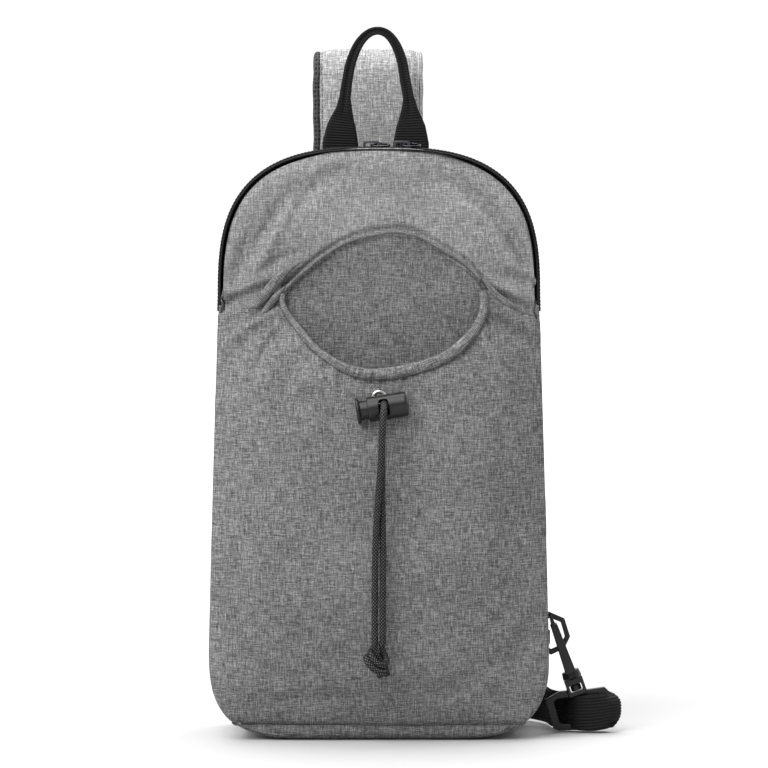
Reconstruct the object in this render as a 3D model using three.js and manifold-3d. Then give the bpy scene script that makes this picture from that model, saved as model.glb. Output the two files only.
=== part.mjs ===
// Sling bag: a small one-strap backpack with a drawstring front pocket, a two-way zip over its
// dome, a webbing grab handle, a padded shoulder strap and a snap hook that clips to a side ring.
// Millimetres, +Z up, the front of the bag faces -Y. The origin is the middle of the bag's base.

import * as THREE from 'three';
import { mergeVertices } from 'three/addons/utils/BufferGeometryUtils.js';
import Module from 'manifold-3d';

const wasm = await Module();
wasm.setup();

// ---------------------------------------------------------------- driving dimensions
const GAP = 0.35;                 // clearance between touching pieces

const BASE_HALF_WIDTH = 100;      // widest point of the bag, just above the base
const DOME_HALF_WIDTH = 94.5;     // half width where the dome starts
const BASE_FLAT = 40;             // half width of the flat part of the base
const BASE_CORNER_HEIGHT = 55;    // height of the rounded lower corners
const BASE_CORNER_POWER = 3;      // roundness of the lower corners (2 is an ellipse)
const DOME_START = 260;           // height where the dome starts
const DOME_HEIGHT = 87.5;         // from there to the top
const DOME_POWER = 2.9;           // roundness of the dome
const BAG_TOP = DOME_START + DOME_HEIGHT;

const BACK_Y = 42;                // outer face of the back panel
const FRONT_EDGE_LOW = -36;       // where the front panel meets the gusset, low down
const FRONT_EDGE_HIGH = -16;      // and at the top of the dome
const FABRIC = 1.6;               // coated fabric with its lining
const SIDE_SAG = 4;               // how far the soft side walls pull in
const ZIP_END = 251;              // height where the zip ends on each side
const PANEL_INSET = 3;            // how far the front panel stays inside the outline
const ZIP_INSET = 1.6;            // and how far the zip stays inside it
const TAPE_WIDTH = 10;
const CHAIN_WIDTH = 6;

const WEBBING = 1.8;              // thickness of all webbing
const HANDLE_WIDTH = 21;
const HANDLE_NECK = 6.5;          // the handle's grip, where the webbing is folded narrow
const HANDLE_TOP = 420;
const HANDLE_Y = 14;

const STRAP_WIDTH = 64;
const STRAP_CENTRE_X = -6;
const STRAP_FOAM = 6;
const LOWER_WEBBING_WIDTH = 22;

const CORD = 4;                   // drawcord diameter
const EYELET_X = 0.2;
const EYELET_Z = 202.4;
const LOCK_WALL_Z = 198.6;
const LOCK_CENTRE = [5, 197.2];    // x and z of the cord lock's barrel
const LOCK_TILT = THREE.MathUtils.degToRad(9);
const BARREL_RADIUS = 7.3;
const BARREL_LENGTH = 23;
const BORE_RADIUS = 5.9;
const PLUNGER_RADIUS = 5.55;
const PLUNGER_TRAVEL = 4.5;
const CORD_HOLE_WIDTH = 5;
const CORD_HOLE_HEIGHT = 9;

const RING_Y = -0.2;              // plane of the side ring
const RING_BAR = 3;
const HOOK_Y = 0;                 // plane of the snap hook's swivel axis
const HOOK_FOOT = [117.2, 27.4];  // x and z of the hook's swivel
const HOOK_TILT = THREE.MathUtils.degToRad(-19.6);
const FRAME_CENTRE = [119, 14.6];  // x and z of the hook's frame

// ---------------------------------------------------------------- small helpers
const lerp = THREE.MathUtils.lerp;
const clamp = THREE.MathUtils.clamp;
const smooth = THREE.MathUtils.smoothstep;
const vec = (x, y, z) => new THREE.Vector3(x, y, z);

// Joins rows of points into one closed skin. Every row has the same number of points, and the
// rows are either capped at the ends or joined back to the first one.
function loft(rows, joined = false) {
  const count = rows[0].length;
  const positions = rows.flat().flatMap((p) => [p.x, p.y, p.z]);
  const index = [];
  const bands = joined ? rows.length : rows.length - 1;
  for (let r = 0; r < bands; r++) {
    const next = (r + 1) % rows.length;
    for (let i = 0; i < count; i++) {
      const j = (i + 1) % count;
      const a = r * count + i;
      const b = r * count + j;
      const c = next * count + j;
      const d = next * count + i;
      index.push(a, b, c, a, c, d);
    }
  }
  if (!joined) {
    for (const [row, start, flip] of [[rows[0], 0, true], [rows.at(-1), (rows.length - 1) * count, false]]) {
      const middle = row.reduce((sum, p) => sum.add(p), vec(0, 0, 0)).divideScalar(count);
      const centre = positions.length / 3;
      positions.push(middle.x, middle.y, middle.z);
      for (let i = 0; i < count; i++) {
        const j = (i + 1) % count;
        index.push(...(flip ? [centre, start + j, start + i] : [centre, start + i, start + j]));
      }
    }
  }
  return facingOut(positions, index);
}

// Makes a geometry from points and triangles, with the faces turned outwards.
function facingOut(positions, index) {
  const at = (i) => vec(positions[3 * i], positions[3 * i + 1], positions[3 * i + 2]);
  let volume = 0;
  for (let i = 0; i < index.length; i += 3) {
    volume += at(index[i]).dot(at(index[i + 1]).cross(at(index[i + 2])));
  }
  if (volume < 0) {
    index.reverse();
  }
  const geometry = new THREE.BufferGeometry();
  geometry.setAttribute('position', new THREE.Float32BufferAttribute(positions, 3));
  geometry.setIndex(index);
  geometry.computeVertexNormals();
  return geometry;
}

// A sheet with a front and a back face, both given as functions of u and v from 0 to 1.
function sheet(columns, rows, front, back) {
  const face = (surface) => {
    const points = [];
    for (let r = 0; r <= rows; r++) {
      for (let c = 0; c <= columns; c++) {
        points.push(surface(c / columns, r / rows));
      }
    }
    return points;
  };
  const positions = [...face(front), ...face(back)].flatMap((p) => [p.x, p.y, p.z]);
  const size = (columns + 1) * (rows + 1);
  const id = (c, r, side) => side * size + r * (columns + 1) + c;
  const index = [];
  const quad = (a, b, c, d) => index.push(a, b, c, a, c, d);
  for (let r = 0; r < rows; r++) {
    for (let c = 0; c < columns; c++) {
      quad(id(c, r, 0), id(c + 1, r, 0), id(c + 1, r + 1, 0), id(c, r + 1, 0));
      quad(id(c, r, 1), id(c, r + 1, 1), id(c + 1, r + 1, 1), id(c + 1, r, 1));
    }
  }
  for (let c = 0; c < columns; c++) {
    quad(id(c, 0, 1), id(c + 1, 0, 1), id(c + 1, 0, 0), id(c, 0, 0));
    quad(id(c, rows, 0), id(c + 1, rows, 0), id(c + 1, rows, 1), id(c, rows, 1));
  }
  for (let r = 0; r < rows; r++) {
    quad(id(0, r, 0), id(0, r + 1, 0), id(0, r + 1, 1), id(0, r, 1));
    quad(id(columns, r, 1), id(columns, r + 1, 1), id(columns, r + 1, 0), id(columns, r, 0));
  }
  return facingOut(positions, index);
}

// A flat band along a smooth path. Each stop gives a place, the direction of the band's width,
// and how wide the band is there.
function ribbon(stops, thickness, steps) {
  const path = new THREE.CatmullRomCurve3(stops.map((s) => vec(...s.at)), false, 'centripetal');
  const between = (t, key) => {
    const place = t * (stops.length - 1);
    const i = Math.min(Math.floor(place), stops.length - 2);
    return key(stops[i], stops[i + 1], place - i);
  };
  const rows = [];
  for (let k = 0; k <= steps; k++) {
    const t = k / steps;
    const centre = path.getPoint(t);
    const along = path.getTangent(t);
    const across = between(t, (a, b, f) => vec(...a.across).normalize().lerp(vec(...b.across).normalize(), f));
    across.addScaledVector(along, -across.dot(along)).normalize();
    const normal = along.clone().cross(across);
    const width = between(t, (a, b, f) => lerp(a.width, b.width, f));
    rows.push([[-1, -1], [1, -1], [1, 1], [-1, 1]].map(([w, n]) => centre.clone()
      .addScaledVector(across, w * width / 2)
      .addScaledVector(normal, n * thickness / 2)));
  }
  return loft(rows);
}

// A round solid bar along a path of points.
function roundBar(points, radius, steps, closed = false, sides = 8) {
  const path = new THREE.CatmullRomCurve3(points.map((p) => vec(...p)), closed, 'centripetal');
  const section = new THREE.Shape().absarc(0, 0, radius, 0, 2 * Math.PI);
  return new THREE.ExtrudeGeometry(section, { steps, extrudePath: path, curveSegments: sides / 2, bevelEnabled: false });
}

// A cylinder from one x to another along the X axis.
function barX(x0, x1, radius, sides = 20) {
  return new THREE.CylinderGeometry(radius, radius, x1 - x0, sides)
    .rotateZ(Math.PI / 2)
    .translate((x0 + x1) / 2, 0, 0);
}

function block(x0, x1, y0, y1, z0, z1) {
  return new THREE.BoxGeometry(x1 - x0, y1 - y0, z1 - z0)
    .translate((x0 + x1) / 2, (y0 + y1) / 2, (z0 + z1) / 2);
}

// A rectangle with round corners, as an outline.
function roundedRectangle(width, height, radius, Outline = THREE.Shape) {
  const x = width / 2 - radius;
  const y = height / 2 - radius;
  const outline = new Outline();
  outline.absarc(x, y, radius, 0, Math.PI / 2);
  outline.absarc(-x, y, radius, Math.PI / 2, Math.PI);
  outline.absarc(-x, -y, radius, Math.PI, 1.5 * Math.PI);
  outline.absarc(x, -y, radius, 1.5 * Math.PI, 2 * Math.PI);
  outline.closePath();
  return outline;
}

// An outline drawn in x and z, made `depth` thick along Y and centred on y = 0.
function plate(outline, depth, curveSegments = 4) {
  return new THREE.ExtrudeGeometry(outline, { depth, curveSegments, bevelEnabled: false })
    .translate(0, 0, -depth / 2)
    .rotateX(Math.PI / 2);
}

// ---------------------------------------------------------------- joining and cutting
function solid(geometry) {
  const bare = geometry.clone();
  bare.deleteAttribute('normal');
  bare.deleteAttribute('uv');
  const merged = mergeVertices(bare, 1e-4);
  return new wasm.Manifold(new wasm.Mesh({
    numProp: 3,
    vertProperties: new Float32Array(merged.attributes.position.array),
    triVerts: new Uint32Array(merged.index.array),
  }));
}

function geometryOf(manifold) {
  const result = manifold.getMesh();
  const geometry = new THREE.BufferGeometry();
  geometry.setAttribute('position', new THREE.BufferAttribute(new Float32Array(result.vertProperties), 3));
  geometry.setIndex(Array.from(result.triVerts));
  geometry.computeVertexNormals();
  return geometry;
}

const cut = (body, ...tools) => geometryOf(tools.reduce((m, tool) => m.subtract(solid(tool)), solid(body)));
const join = (...bodies) => geometryOf(bodies.slice(1).reduce((m, b) => m.add(solid(b)), solid(bodies[0])));

// ---------------------------------------------------------------- materials and nodes
const bag = new THREE.Group();

function add(name, geometry, material, parent = bag) {
  const mesh = new THREE.Mesh(geometry, material);
  mesh.name = name;
  parent.add(mesh);
  return mesh;
}

const finish = (color, roughness, metalness = 0) => new THREE.MeshStandardMaterial({ color, roughness, metalness });
const heatherFabric = () => finish(0x8a8a8a, 0.9);
const liningFabric = () => finish(0x4a4a4c, 0.85);
const spacerMesh = () => finish(0x4c4c4e, 0.95);
const foam = () => finish(0xd8d8d4, 0.95);
const blackWebbing = () => finish(0x222222, 0.85);
const blackPlastic = () => finish(0x262626, 0.45);
const blackCord = () => finish(0x2a2a2a, 0.8);
const gunmetal = () => finish(0x4a4a4d, 0.3, 1);
const nickel = () => finish(0xc8c8c8, 0.25, 1);
const springSteel = () => finish(0x9a9a9a, 0.35, 1);

// ---------------------------------------------------------------- the bag's outline and depth
// Half width of the straight part of the side at a height.
function sideHalfWidth(z) {
  return lerp(BASE_HALF_WIDTH, DOME_HALF_WIDTH, clamp((z - BASE_CORNER_HEIGHT) / (DOME_START - BASE_CORNER_HEIGHT), 0, 1));
}

// Height of the lower outline, for s from -1 at the left side to 1 at the right side.
function bottomHeight(s) {
  const flat = BASE_FLAT / BASE_HALF_WIDTH;
  const k = clamp((Math.abs(s) - flat) / (1 - flat), 0, 1);
  return BASE_CORNER_HEIGHT * (1 - Math.pow(1 - Math.pow(k, BASE_CORNER_POWER), 1 / BASE_CORNER_POWER));
}

// Height of the dome for s from -1 to 1.
function domeHeight(s) {
  return DOME_START + DOME_HEIGHT * Math.pow(1 - Math.pow(Math.abs(s), DOME_POWER), 1 / DOME_POWER);
}

// Where the front panel's seam lies in depth: the bag leans back towards the top.
function frontEdge(z) {
  return lerp(FRONT_EDGE_LOW, FRONT_EDGE_HIGH, smooth(z, 110, BAG_TOP));
}

// How full a panel is: 1 in the middle, 0 at its edges.
function crown(s, z) {
  const t = (z - BAG_TOP / 2) / (BAG_TOP / 2);
  return (1 - Math.pow(Math.abs(s), 5)) * (1 - Math.pow(Math.abs(t), 5));
}

const PANEL_CROWN = 5;
const POCKET_BELLY = 22;
const panelY = (s, z) => frontEdge(z) - PANEL_CROWN * crown(s, z);
const pocketY = (s, z) => frontEdge(z) - 2.5 - POCKET_BELLY * crown(s, z) * lerp(1, 0.75, smooth(z, 150, 280));

// A panel of the bag: rows of points from its lower to its upper edge. The inset draws its
// whole edge in by that much.
function panel({ columns, rows, low, high, faceY, thickness, inset = 0 }) {
  const point = (u, v, back) => {
    const s = Math.sin((u - 0.5) * Math.PI);
    const z = lerp(low(s) + inset, high(s) - inset, v);
    return vec(s * (sideHalfWidth(z) - inset), faceY(s, z) + (back ? thickness : 0), z);
  };
  return sheet(columns, rows, (u, v) => point(u, v, false), (u, v) => point(u, v, true));
}

// Points of the outline from the base round one side to the top, drawn in by the inset.
function outlineSide(side, inset) {
  const points = [];
  const push = (x, z) => points.push([side * x, z]);
  push(0, inset);
  for (let k = 0; k <= 10; k++) {
    const angle = (k / 10) * Math.PI / 2;
    const power = 2 / BASE_CORNER_POWER;
    const x = BASE_FLAT + (BASE_HALF_WIDTH - BASE_FLAT - inset) * Math.pow(Math.sin(angle), power);
    push(x, BASE_CORNER_HEIGHT - (BASE_CORNER_HEIGHT - inset) * Math.pow(Math.cos(angle), power));
  }
  for (const z of [90, 130, 170, 210, ZIP_END, ZIP_END + GAP]) {
    push(sideHalfWidth(z) - inset, z);
  }
  for (let k = 0; k <= 12; k++) {
    const angle = (k / 12) * Math.PI / 2;
    const power = 2 / DOME_POWER;
    const x = (DOME_HALF_WIDTH - inset) * Math.pow(Math.cos(angle), power);
    push(x, DOME_START + (DOME_HEIGHT - inset) * Math.pow(Math.sin(angle), power));
  }
  return points;
}

// A band of fabric that follows the outline, from the front edge y0(z) to the back edge y1(z).
function band(points, y0, y1, thickness) {
  const rows = points.map(([x, z], i) => {
    const before = points[Math.max(i - 1, 0)];
    const after = points[Math.min(i + 1, points.length - 1)];
    const along = vec(after[0] - before[0], 0, after[1] - before[1]).normalize();
    const inward = vec(-along.z, 0, along.x);
    if (inward.dot(vec(-x, 0, 150 - z)) < 0) {
      inward.negate();
    }
    const outerFront = vec(x, y0(z), z);
    const outerBack = vec(x, y1(z), z);
    return [outerFront, outerBack,
      outerBack.clone().addScaledVector(inward, thickness),
      outerFront.clone().addScaledVector(inward, thickness)];
  });
  return loft(rows);
}

const between = (points, low, high) => points.filter(([, z]) => z >= low && z <= high);

// ---------------------------------------------------------------- main compartment
function addMainCompartment() {
  add('front_panel', panel({
    columns: 20, rows: 12, low: bottomHeight, high: domeHeight, faceY: panelY,
    thickness: FABRIC, inset: PANEL_INSET,
  }), heatherFabric());

  add('back_panel_cover', panel({
    columns: 18, rows: 10, low: bottomHeight, high: domeHeight,
    faceY: () => BACK_Y - FABRIC, thickness: FABRIC, inset: 0,
  }), spacerMesh());
  add('back_panel_foam', panel({
    columns: 14, rows: 8, low: bottomHeight, high: domeHeight,
    faceY: () => BACK_Y - FABRIC - GAP - STRAP_FOAM, thickness: STRAP_FOAM, inset: 10,
  }), foam());
  add('back_panel_lining', panel({
    columns: 14, rows: 8, low: bottomHeight, high: domeHeight,
    faceY: () => BACK_Y - FABRIC - 2 * GAP - STRAP_FOAM - 1, thickness: 1, inset: 7,
  }), liningFabric());

  const seam = 9;
  const backEdge = () => BACK_Y - FABRIC - GAP;
  const gussetFront = (z) => frontEdge(z) + FABRIC + GAP;
  for (const [name, side] of [['left', -1], ['right', 1]]) {
    const outline = outlineSide(side, SIDE_SAG);
    add(`side_gusset_${name}`, band(between(outline, seam, ZIP_END), gussetFront, backEdge, FABRIC), heatherFabric());
  }
  const across = (points) => [...points].reverse().map(([x, z]) => [-x, z]);
  const lowRight = between(outlineSide(1, 0), 0, seam - 1);
  const bottomOutline = [...across(lowRight), ...lowRight.slice(1)];
  add('bottom_panel', band(bottomOutline, gussetFront, backEdge, FABRIC), heatherFabric());

  const dome = (inset) => {
    const right = between(outlineSide(1, inset), ZIP_END + GAP, BAG_TOP);
    return [...right, ...across(right).slice(1)];
  };
  const chainFront = (z) => frontEdge(z) + FABRIC + GAP + TAPE_WIDTH;
  const rearTape = (z) => chainFront(z) + CHAIN_WIDTH + GAP;
  add('dome_gusset', band(dome(0.3), (z) => rearTape(z) + TAPE_WIDTH + GAP, backEdge, FABRIC), heatherFabric());
  add('zip_tape_front', band(dome(ZIP_INSET), (z) => gussetFront(z), (z) => chainFront(z) - GAP, 1), blackWebbing());
  add('zip_tape_rear', band(dome(ZIP_INSET), rearTape, (z) => rearTape(z) + TAPE_WIDTH, 1), blackWebbing());
  add('zip_chain', band(dome(ZIP_INSET), chainFront, (z) => chainFront(z) + CHAIN_WIDTH - GAP, 2), blackPlastic());
}

// ---------------------------------------------------------------- zip sliders and their pulls
// Each slider rides on the chain at the top of the dome; its oval pull hangs from the bridge
// and droops forward over the front panel.
const ZIP_Y = FRONT_EDGE_HIGH + FABRIC + GAP + TAPE_WIDTH + CHAIN_WIDTH / 2;
const SLIDERS = [['left', -4.5], ['right', 13.5]];
const SLIDER_BASE = BAG_TOP - ZIP_INSET + GAP;
const PULL_AXIS_Z = SLIDER_BASE + 3.3;
const PULL_DROOP = THREE.MathUtils.degToRad(14);

function addZipSliders() {
  for (const [name, x] of SLIDERS) {
    const wing = block(x - 6, x + 6, ZIP_Y - 4.5, ZIP_Y + 4.5, SLIDER_BASE, SLIDER_BASE + 1.5);
    const bridge = plate(roundedRectangle(10, 5, 1.4), 2.2).translate(x, ZIP_Y, SLIDER_BASE + 3.2);
    const eye = plate(roundedRectangle(6.8, 2.6, 1.2), 6).translate(x, ZIP_Y, PULL_AXIS_Z);
    add(`zip_slider_${name}`, cut(join(wing, bridge), eye), gunmetal());

    // One end of the oval ring passes through the eye; the ring lies to the right of it.
    const ring = new THREE.Shape().absellipse(0, 0, 6, 4.4, 0, 2 * Math.PI);
    ring.holes.push(new THREE.Path().absellipse(0, 0, 4.6, 3, 0, 2 * Math.PI, true));
    const pull = new THREE.ExtrudeGeometry(ring, { depth: 1.2, curveSegments: 10, bevelEnabled: false })
      .translate(5.3, 0, -0.6)
      .rotateX(PULL_DROOP)
      .translate(x, ZIP_Y, PULL_AXIS_Z);
    add(`zip_pull_${name}`, pull, gunmetal());
  }
}

// ---------------------------------------------------------------- drawstring pocket
// Height of the pocket's top edge: a crease near each side, then the mouth's sagging rim.
const MOUTH_LEFT = -58;
const MOUTH_RIGHT = 62;
const MOUTH_CORNER_Z = 262;
const MOUTH_LOW_Z = 220;
const HEM_HALF = 4.2;
const EDGE_LEFT = [-95, 250];     // where the pocket's top edge meets the left side: x, z
const EDGE_RIGHT = [96, 246];
function mouthRim(x) {
  const t = clamp((x - MOUTH_LEFT) / (MOUTH_RIGHT - MOUTH_LEFT), 0, 1);
  return MOUTH_CORNER_Z - (MOUTH_CORNER_Z - MOUTH_LOW_Z) * Math.pow(Math.sin(Math.PI * t), 0.65);
}
function pocketTop(s) {
  const x = s * sideHalfWidth(ZIP_END);
  if (x <= MOUTH_LEFT) {
    return EDGE_LEFT[1] + 12 * smooth(x, EDGE_LEFT[0], MOUTH_LEFT) - 2 * HEM_HALF;
  }
  if (x >= MOUTH_RIGHT) {
    return EDGE_RIGHT[1] + 12 * smooth(-x, -EDGE_RIGHT[0], -MOUTH_RIGHT) - 2 * HEM_HALF;
  }
  const slope = (mouthRim(x + 0.5) - mouthRim(x - 0.5));
  return mouthRim(x) - 2 * HEM_HALF * Math.min(Math.hypot(1, slope), 3);
}

function addPocket() {
  const seamStrip = 9;
  add('pocket_front_wall', panel({
    columns: 26, rows: 12, low: (s) => Math.max(bottomHeight(s), seamStrip), high: pocketTop,
    faceY: pocketY, thickness: FABRIC,
  }), heatherFabric());

  // The back wall of the pocket, seen through the mouth. Its top edge is an arc.
  const wallTop = (s) => 299 - 34 * Math.pow(Math.abs(s), 2.2);
  const wallX = (s) => lerp(-57, 63, (s + 1) / 2);
  const wallPoint = (u, v, back) => {
    const s = 2 * u - 1;
    const x = wallX(s);
    const z = lerp(150, wallTop(s), v);
    const y = panelY(x / sideHalfWidth(z), z) - GAP - FABRIC;
    return vec(x, y + (back ? FABRIC : 0), z);
  };
  add('pocket_back_wall', sheet(14, 10, (u, v) => wallPoint(u, v, false), (u, v) => wallPoint(u, v, true)), heatherFabric());

  // The rolled hem round the mouth is a tunnel for the drawcord.
  const rim = [];
  for (let k = 0; k <= 16; k++) {
    const x = lerp(MOUTH_LEFT + 1, MOUTH_RIGHT - 1, 0.5 - 0.5 * Math.cos((k / 16) * Math.PI));
    const z = mouthRim(x) - HEM_HALF;
    rim.push([x, pocketY(x / sideHalfWidth(z), z) - 1.2, z]);
  }
  const ringsAlong = (halfTall, halfDeep) => {
    const path = new THREE.CatmullRomCurve3(rim.map((p) => vec(...p)), false, 'centripetal');
    const rings = [];
    for (let k = 0; k <= 24; k++) {
      const centre = path.getPoint(k / 24);
      const tangent = path.getTangent(k / 24);
      const up = vec(-tangent.z, 0, tangent.x).normalize();
      rings.push(Array.from({ length: 8 }, (_, i) => {
        const angle = (i / 8) * 2 * Math.PI;
        return centre.clone()
          .addScaledVector(up, halfTall * Math.cos(angle))
          .add(vec(0, halfDeep * Math.sin(angle), 0));
      }));
    }
    return rings;
  };
  const outer = ringsAlong(HEM_HALF - GAP, 3.2);
  const inner = ringsAlong(HEM_HALF - GAP - 1.1, 2.1).reverse();
  add('mouth_hem', loft([...outer, ...inner], true), heatherFabric());
  const hidden = rim.slice(2, -2);
  add('hem_drawcord', roundBar(hidden, 1.5, 24), blackCord());
}

// ---------------------------------------------------------------- eyelet, cord lock, drawcord
const lockWallY = pocketY(0, LOCK_WALL_Z);
const LOCK_Y = lockWallY - BARREL_RADIUS - 3.4;

function addEyelet() {
  const profile = [[2.6, -0.4], [4.8, -0.4], [4.8, 0.3], [3.9, 0.9], [2.6, 0.9]].map(([r, h]) => new THREE.Vector2(r, h));
  profile.push(profile[0]);
  const washer = new THREE.LatheGeometry(profile, 24)
    .rotateX(Math.PI)
    .translate(EYELET_X, lockWallY - GAP - 0.8, EYELET_Z);
  add('eyelet', washer, nickel());
}

function addCordLock() {
  const lock = new THREE.Group();
  lock.position.set(LOCK_CENTRE[0], LOCK_Y, LOCK_CENTRE[1]);
  lock.rotation.y = -LOCK_TILT;
  bag.add(lock);

  const end = BARREL_LENGTH / 2;
  const holeX = -2;
  const cordHole = plate(roundedRectangle(CORD_HOLE_WIDTH + 1, CORD_HOLE_HEIGHT + 1, 2.4), 30).translate(holeX, 0, 0);
  add('cord_lock_barrel', cut(
    barX(-end, end, BARREL_RADIUS, 24),
    barX(-end - 1, end - 2, BORE_RADIUS, 20),
    cordHole,
  ), blackPlastic(), lock);

  const shank = barX(-end - 3.6, end - 2 - 3.2 - PLUNGER_TRAVEL - GAP, PLUNGER_RADIUS, 20);
  const flange = barX(-end - PLUNGER_TRAVEL - GAP - 1.8, -end - PLUNGER_TRAVEL - GAP, 7.8, 24);
  const neck = barX(-end - PLUNGER_TRAVEL - 1, -end - 3, PLUNGER_RADIUS, 20);
  const slot = plate(roundedRectangle(CORD_HOLE_WIDTH + PLUNGER_TRAVEL + 1.4, CORD_HOLE_HEIGHT, 2.4), 30)
    .translate(holeX - PLUNGER_TRAVEL / 2, 0, 0);
  add('cord_lock_plunger', cut(join(shank, flange, neck), slot), blackPlastic(), lock);

  // The spring is drawn at its pressed length, against the closed end of the barrel.
  const turns = 3;
  const coil = [];
  for (let k = 0; k <= turns * 10; k++) {
    const angle = (k / 10) * 2 * Math.PI;
    coil.push([end - 2.7 - (k / (turns * 10)) * 2.2, 3.6 * Math.cos(angle), 3.6 * Math.sin(angle)]);
  }
  add('cord_lock_spring', roundBar(coil, 0.3, turns * 12, false, 6), springSteel(), lock);
}

// The two strands come out of the eyelet one above the other, pass through the lock, turn down
// and hang in front of the pocket to the knot.
const STRAND_OFFSET = CORD / 2 + 0.18;
function strandRoute(side) {
  const holeX = LOCK_CENTRE[0] - 2 * Math.cos(LOCK_TILT);
  const holeZ = LOCK_CENTRE[1] - 2 * Math.sin(LOCK_TILT);
  const front = LOCK_Y - BARREL_RADIUS;
  return [
    [holeX - 1, lockWallY - 2.6, holeZ + 0.8 + side * STRAND_OFFSET],
    [holeX - 0.5, lockWallY - 4.6, holeZ + 0.4 + side * STRAND_OFFSET],
    [holeX, LOCK_Y + 3, holeZ + side * STRAND_OFFSET],
    [holeX, LOCK_Y - 3, holeZ + side * STRAND_OFFSET],
    [holeX, front - 0.6 - side * 0.7, holeZ - 0.6 + side * STRAND_OFFSET],
    [holeX - 0.3, front - 4.2 - side * 1.7, holeZ - 4.4 + side * 1.7],
    [holeX - 0.7, front - 5.8 - side * STRAND_OFFSET, holeZ - 10 + side * 0.5],
    [holeX - 1.1, front - 5.7 - side * STRAND_OFFSET, holeZ - 18],
    [holeX - 1.5 - side * 0.4, front - 4.8 - side * 2.1, 164],
    [holeX - 2 - side * 0.9, front - 3.9 - side * 1.95, 150],
    [holeX - 2.5 - side * 1.6, front - 3.1 - side * 1.45, 134],
    [holeX - 2.8 - side * 2.1, front - 2.6 - side * 0.7, 116],
    [holeX - 3 - side * 2.3, front - 2.4 - side * 0.3, 98],
    [holeX - 3.1 - side * 2.3, front - 2.5, 80],
    [holeX - 3.1 - side * 2.3, front - 2.7, 68],
    [holeX - 3.1 - side * 2.2, front - 2.8, 59.4],
  ];
}

function addDrawcord() {
  add('drawcord_left', roundBar(strandRoute(1), CORD / 2, 48), blackCord());
  add('drawcord_right', roundBar(strandRoute(-1), CORD / 2, 48), blackCord());
  const end = strandRoute(0).at(-1);
  const knot = new THREE.SphereGeometry(1, 14, 10).scale(8.6, 7, 9.6).translate(end[0] - 0.6, end[1] + 0.3, 49.2);
  add('drawcord_knot', knot, blackCord());
}

// ---------------------------------------------------------------- grab handle
// Webbing sewn down full width at both ends and folded narrow over the arch.
function addHandle() {
  const across = [1, 0, 0];
  const leg = (foot, neck, shoulder) => [
    { at: [foot, HANDLE_Y, BAG_TOP + GAP + 0.6], across, width: HANDLE_WIDTH },
    { at: [foot * 0.99, HANDLE_Y, 356], across, width: HANDLE_WIDTH },
    { at: [neck, HANDLE_Y, 377], across, width: HANDLE_NECK + 1 },
    { at: [shoulder, HANDLE_Y, 396], across: [1, 0, 0.25], width: HANDLE_NECK },
  ];
  const left = leg(-23, -20.8, -17.2);
  const right = leg(19, 18, 14.6).reverse();
  right.forEach((stop) => { stop.across = [-1, 0, stop.across[2]]; });
  const arch = [
    { at: [-12, HANDLE_Y, 409], across: [0.75, 0, -0.65], width: HANDLE_NECK },
    { at: [-1, HANDLE_Y, HANDLE_TOP - 2.3], across: [0, 0, -1], width: 5 },
    { at: [9.6, HANDLE_Y, 409], across: [-0.75, 0, -0.65], width: HANDLE_NECK },
  ];
  add('grab_handle', ribbon([...left, ...arch, ...right], 3.4, 36), blackWebbing());
}

// ---------------------------------------------------------------- shoulder strap
// The padded strap is sewn into the top of the back, folds over behind the bag and hangs down.
const FOLD_RADIUS = 14;
const FOLD_CENTRE = [BACK_Y + 21, 390];
function strapPath() {
  const path = [322, 340, 358, 376].map((z) => [BACK_Y + 6.5 + (z - 322) / 120, z]);
  for (let degrees = 180; degrees >= 0; degrees -= 22.5) {
    const angle = THREE.MathUtils.degToRad(degrees);
    path.push([FOLD_CENTRE[0] + FOLD_RADIUS * Math.cos(angle), FOLD_CENTRE[1] + FOLD_RADIUS * Math.sin(angle)]);
  }
  const hanging = [[35.5, 370], [36.5, 330], [37.5, 280], [38, 230], [37.5, 180], [36, 130], [34.5, 95], [33.5, 70]];
  return [...path, ...hanging.map(([y, z]) => [BACK_Y + y, z])];
}
const STRAP_LAYERS = { face: [3.7, 1.4], foam: [0, 5], mesh: [-3.7, 1.4] };

// A layer of the strap: the path moved sideways by an offset, and the layer's thickness.
function strapLayer([offset, thickness], width) {
  const middle = strapPath();
  const path = middle.map(([y, z], i) => {
    const before = middle[Math.max(i - 1, 0)];
    const after = middle[Math.min(i + 1, middle.length - 1)];
    const along = new THREE.Vector2(after[0] - before[0], after[1] - before[1]).normalize();
    return [y - along.y * offset, z + along.x * offset];
  });
  const stops = path.map(([y, z]) => ({ at: [STRAP_CENTRE_X, y, z], across: [1, 0, 0], width }));
  return ribbon(stops, thickness, 42);
}

function addStrap() {
  add('strap_face', strapLayer(STRAP_LAYERS.face, STRAP_WIDTH), heatherFabric());
  add('strap_foam', strapLayer(STRAP_LAYERS.foam, STRAP_WIDTH - 4), foam());
  add('strap_mesh', strapLayer(STRAP_LAYERS.mesh, STRAP_WIDTH), spacerMesh());
}

// ---------------------------------------------------------------- lower webbing and its adjuster
// The webbing leaves the strap, runs along the floor behind the bag on its edge, and loops
// round one leg of the hook's frame.
const WEB_Z = LOWER_WEBBING_WIDTH / 2 + 0.6;
const UPRIGHT = [0, 0.05, 1];
const ADJUSTER_X = 45;
const ADJUSTER_Y = BACK_Y + 20;
const ADJUSTER_Z = 14.4;

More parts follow.
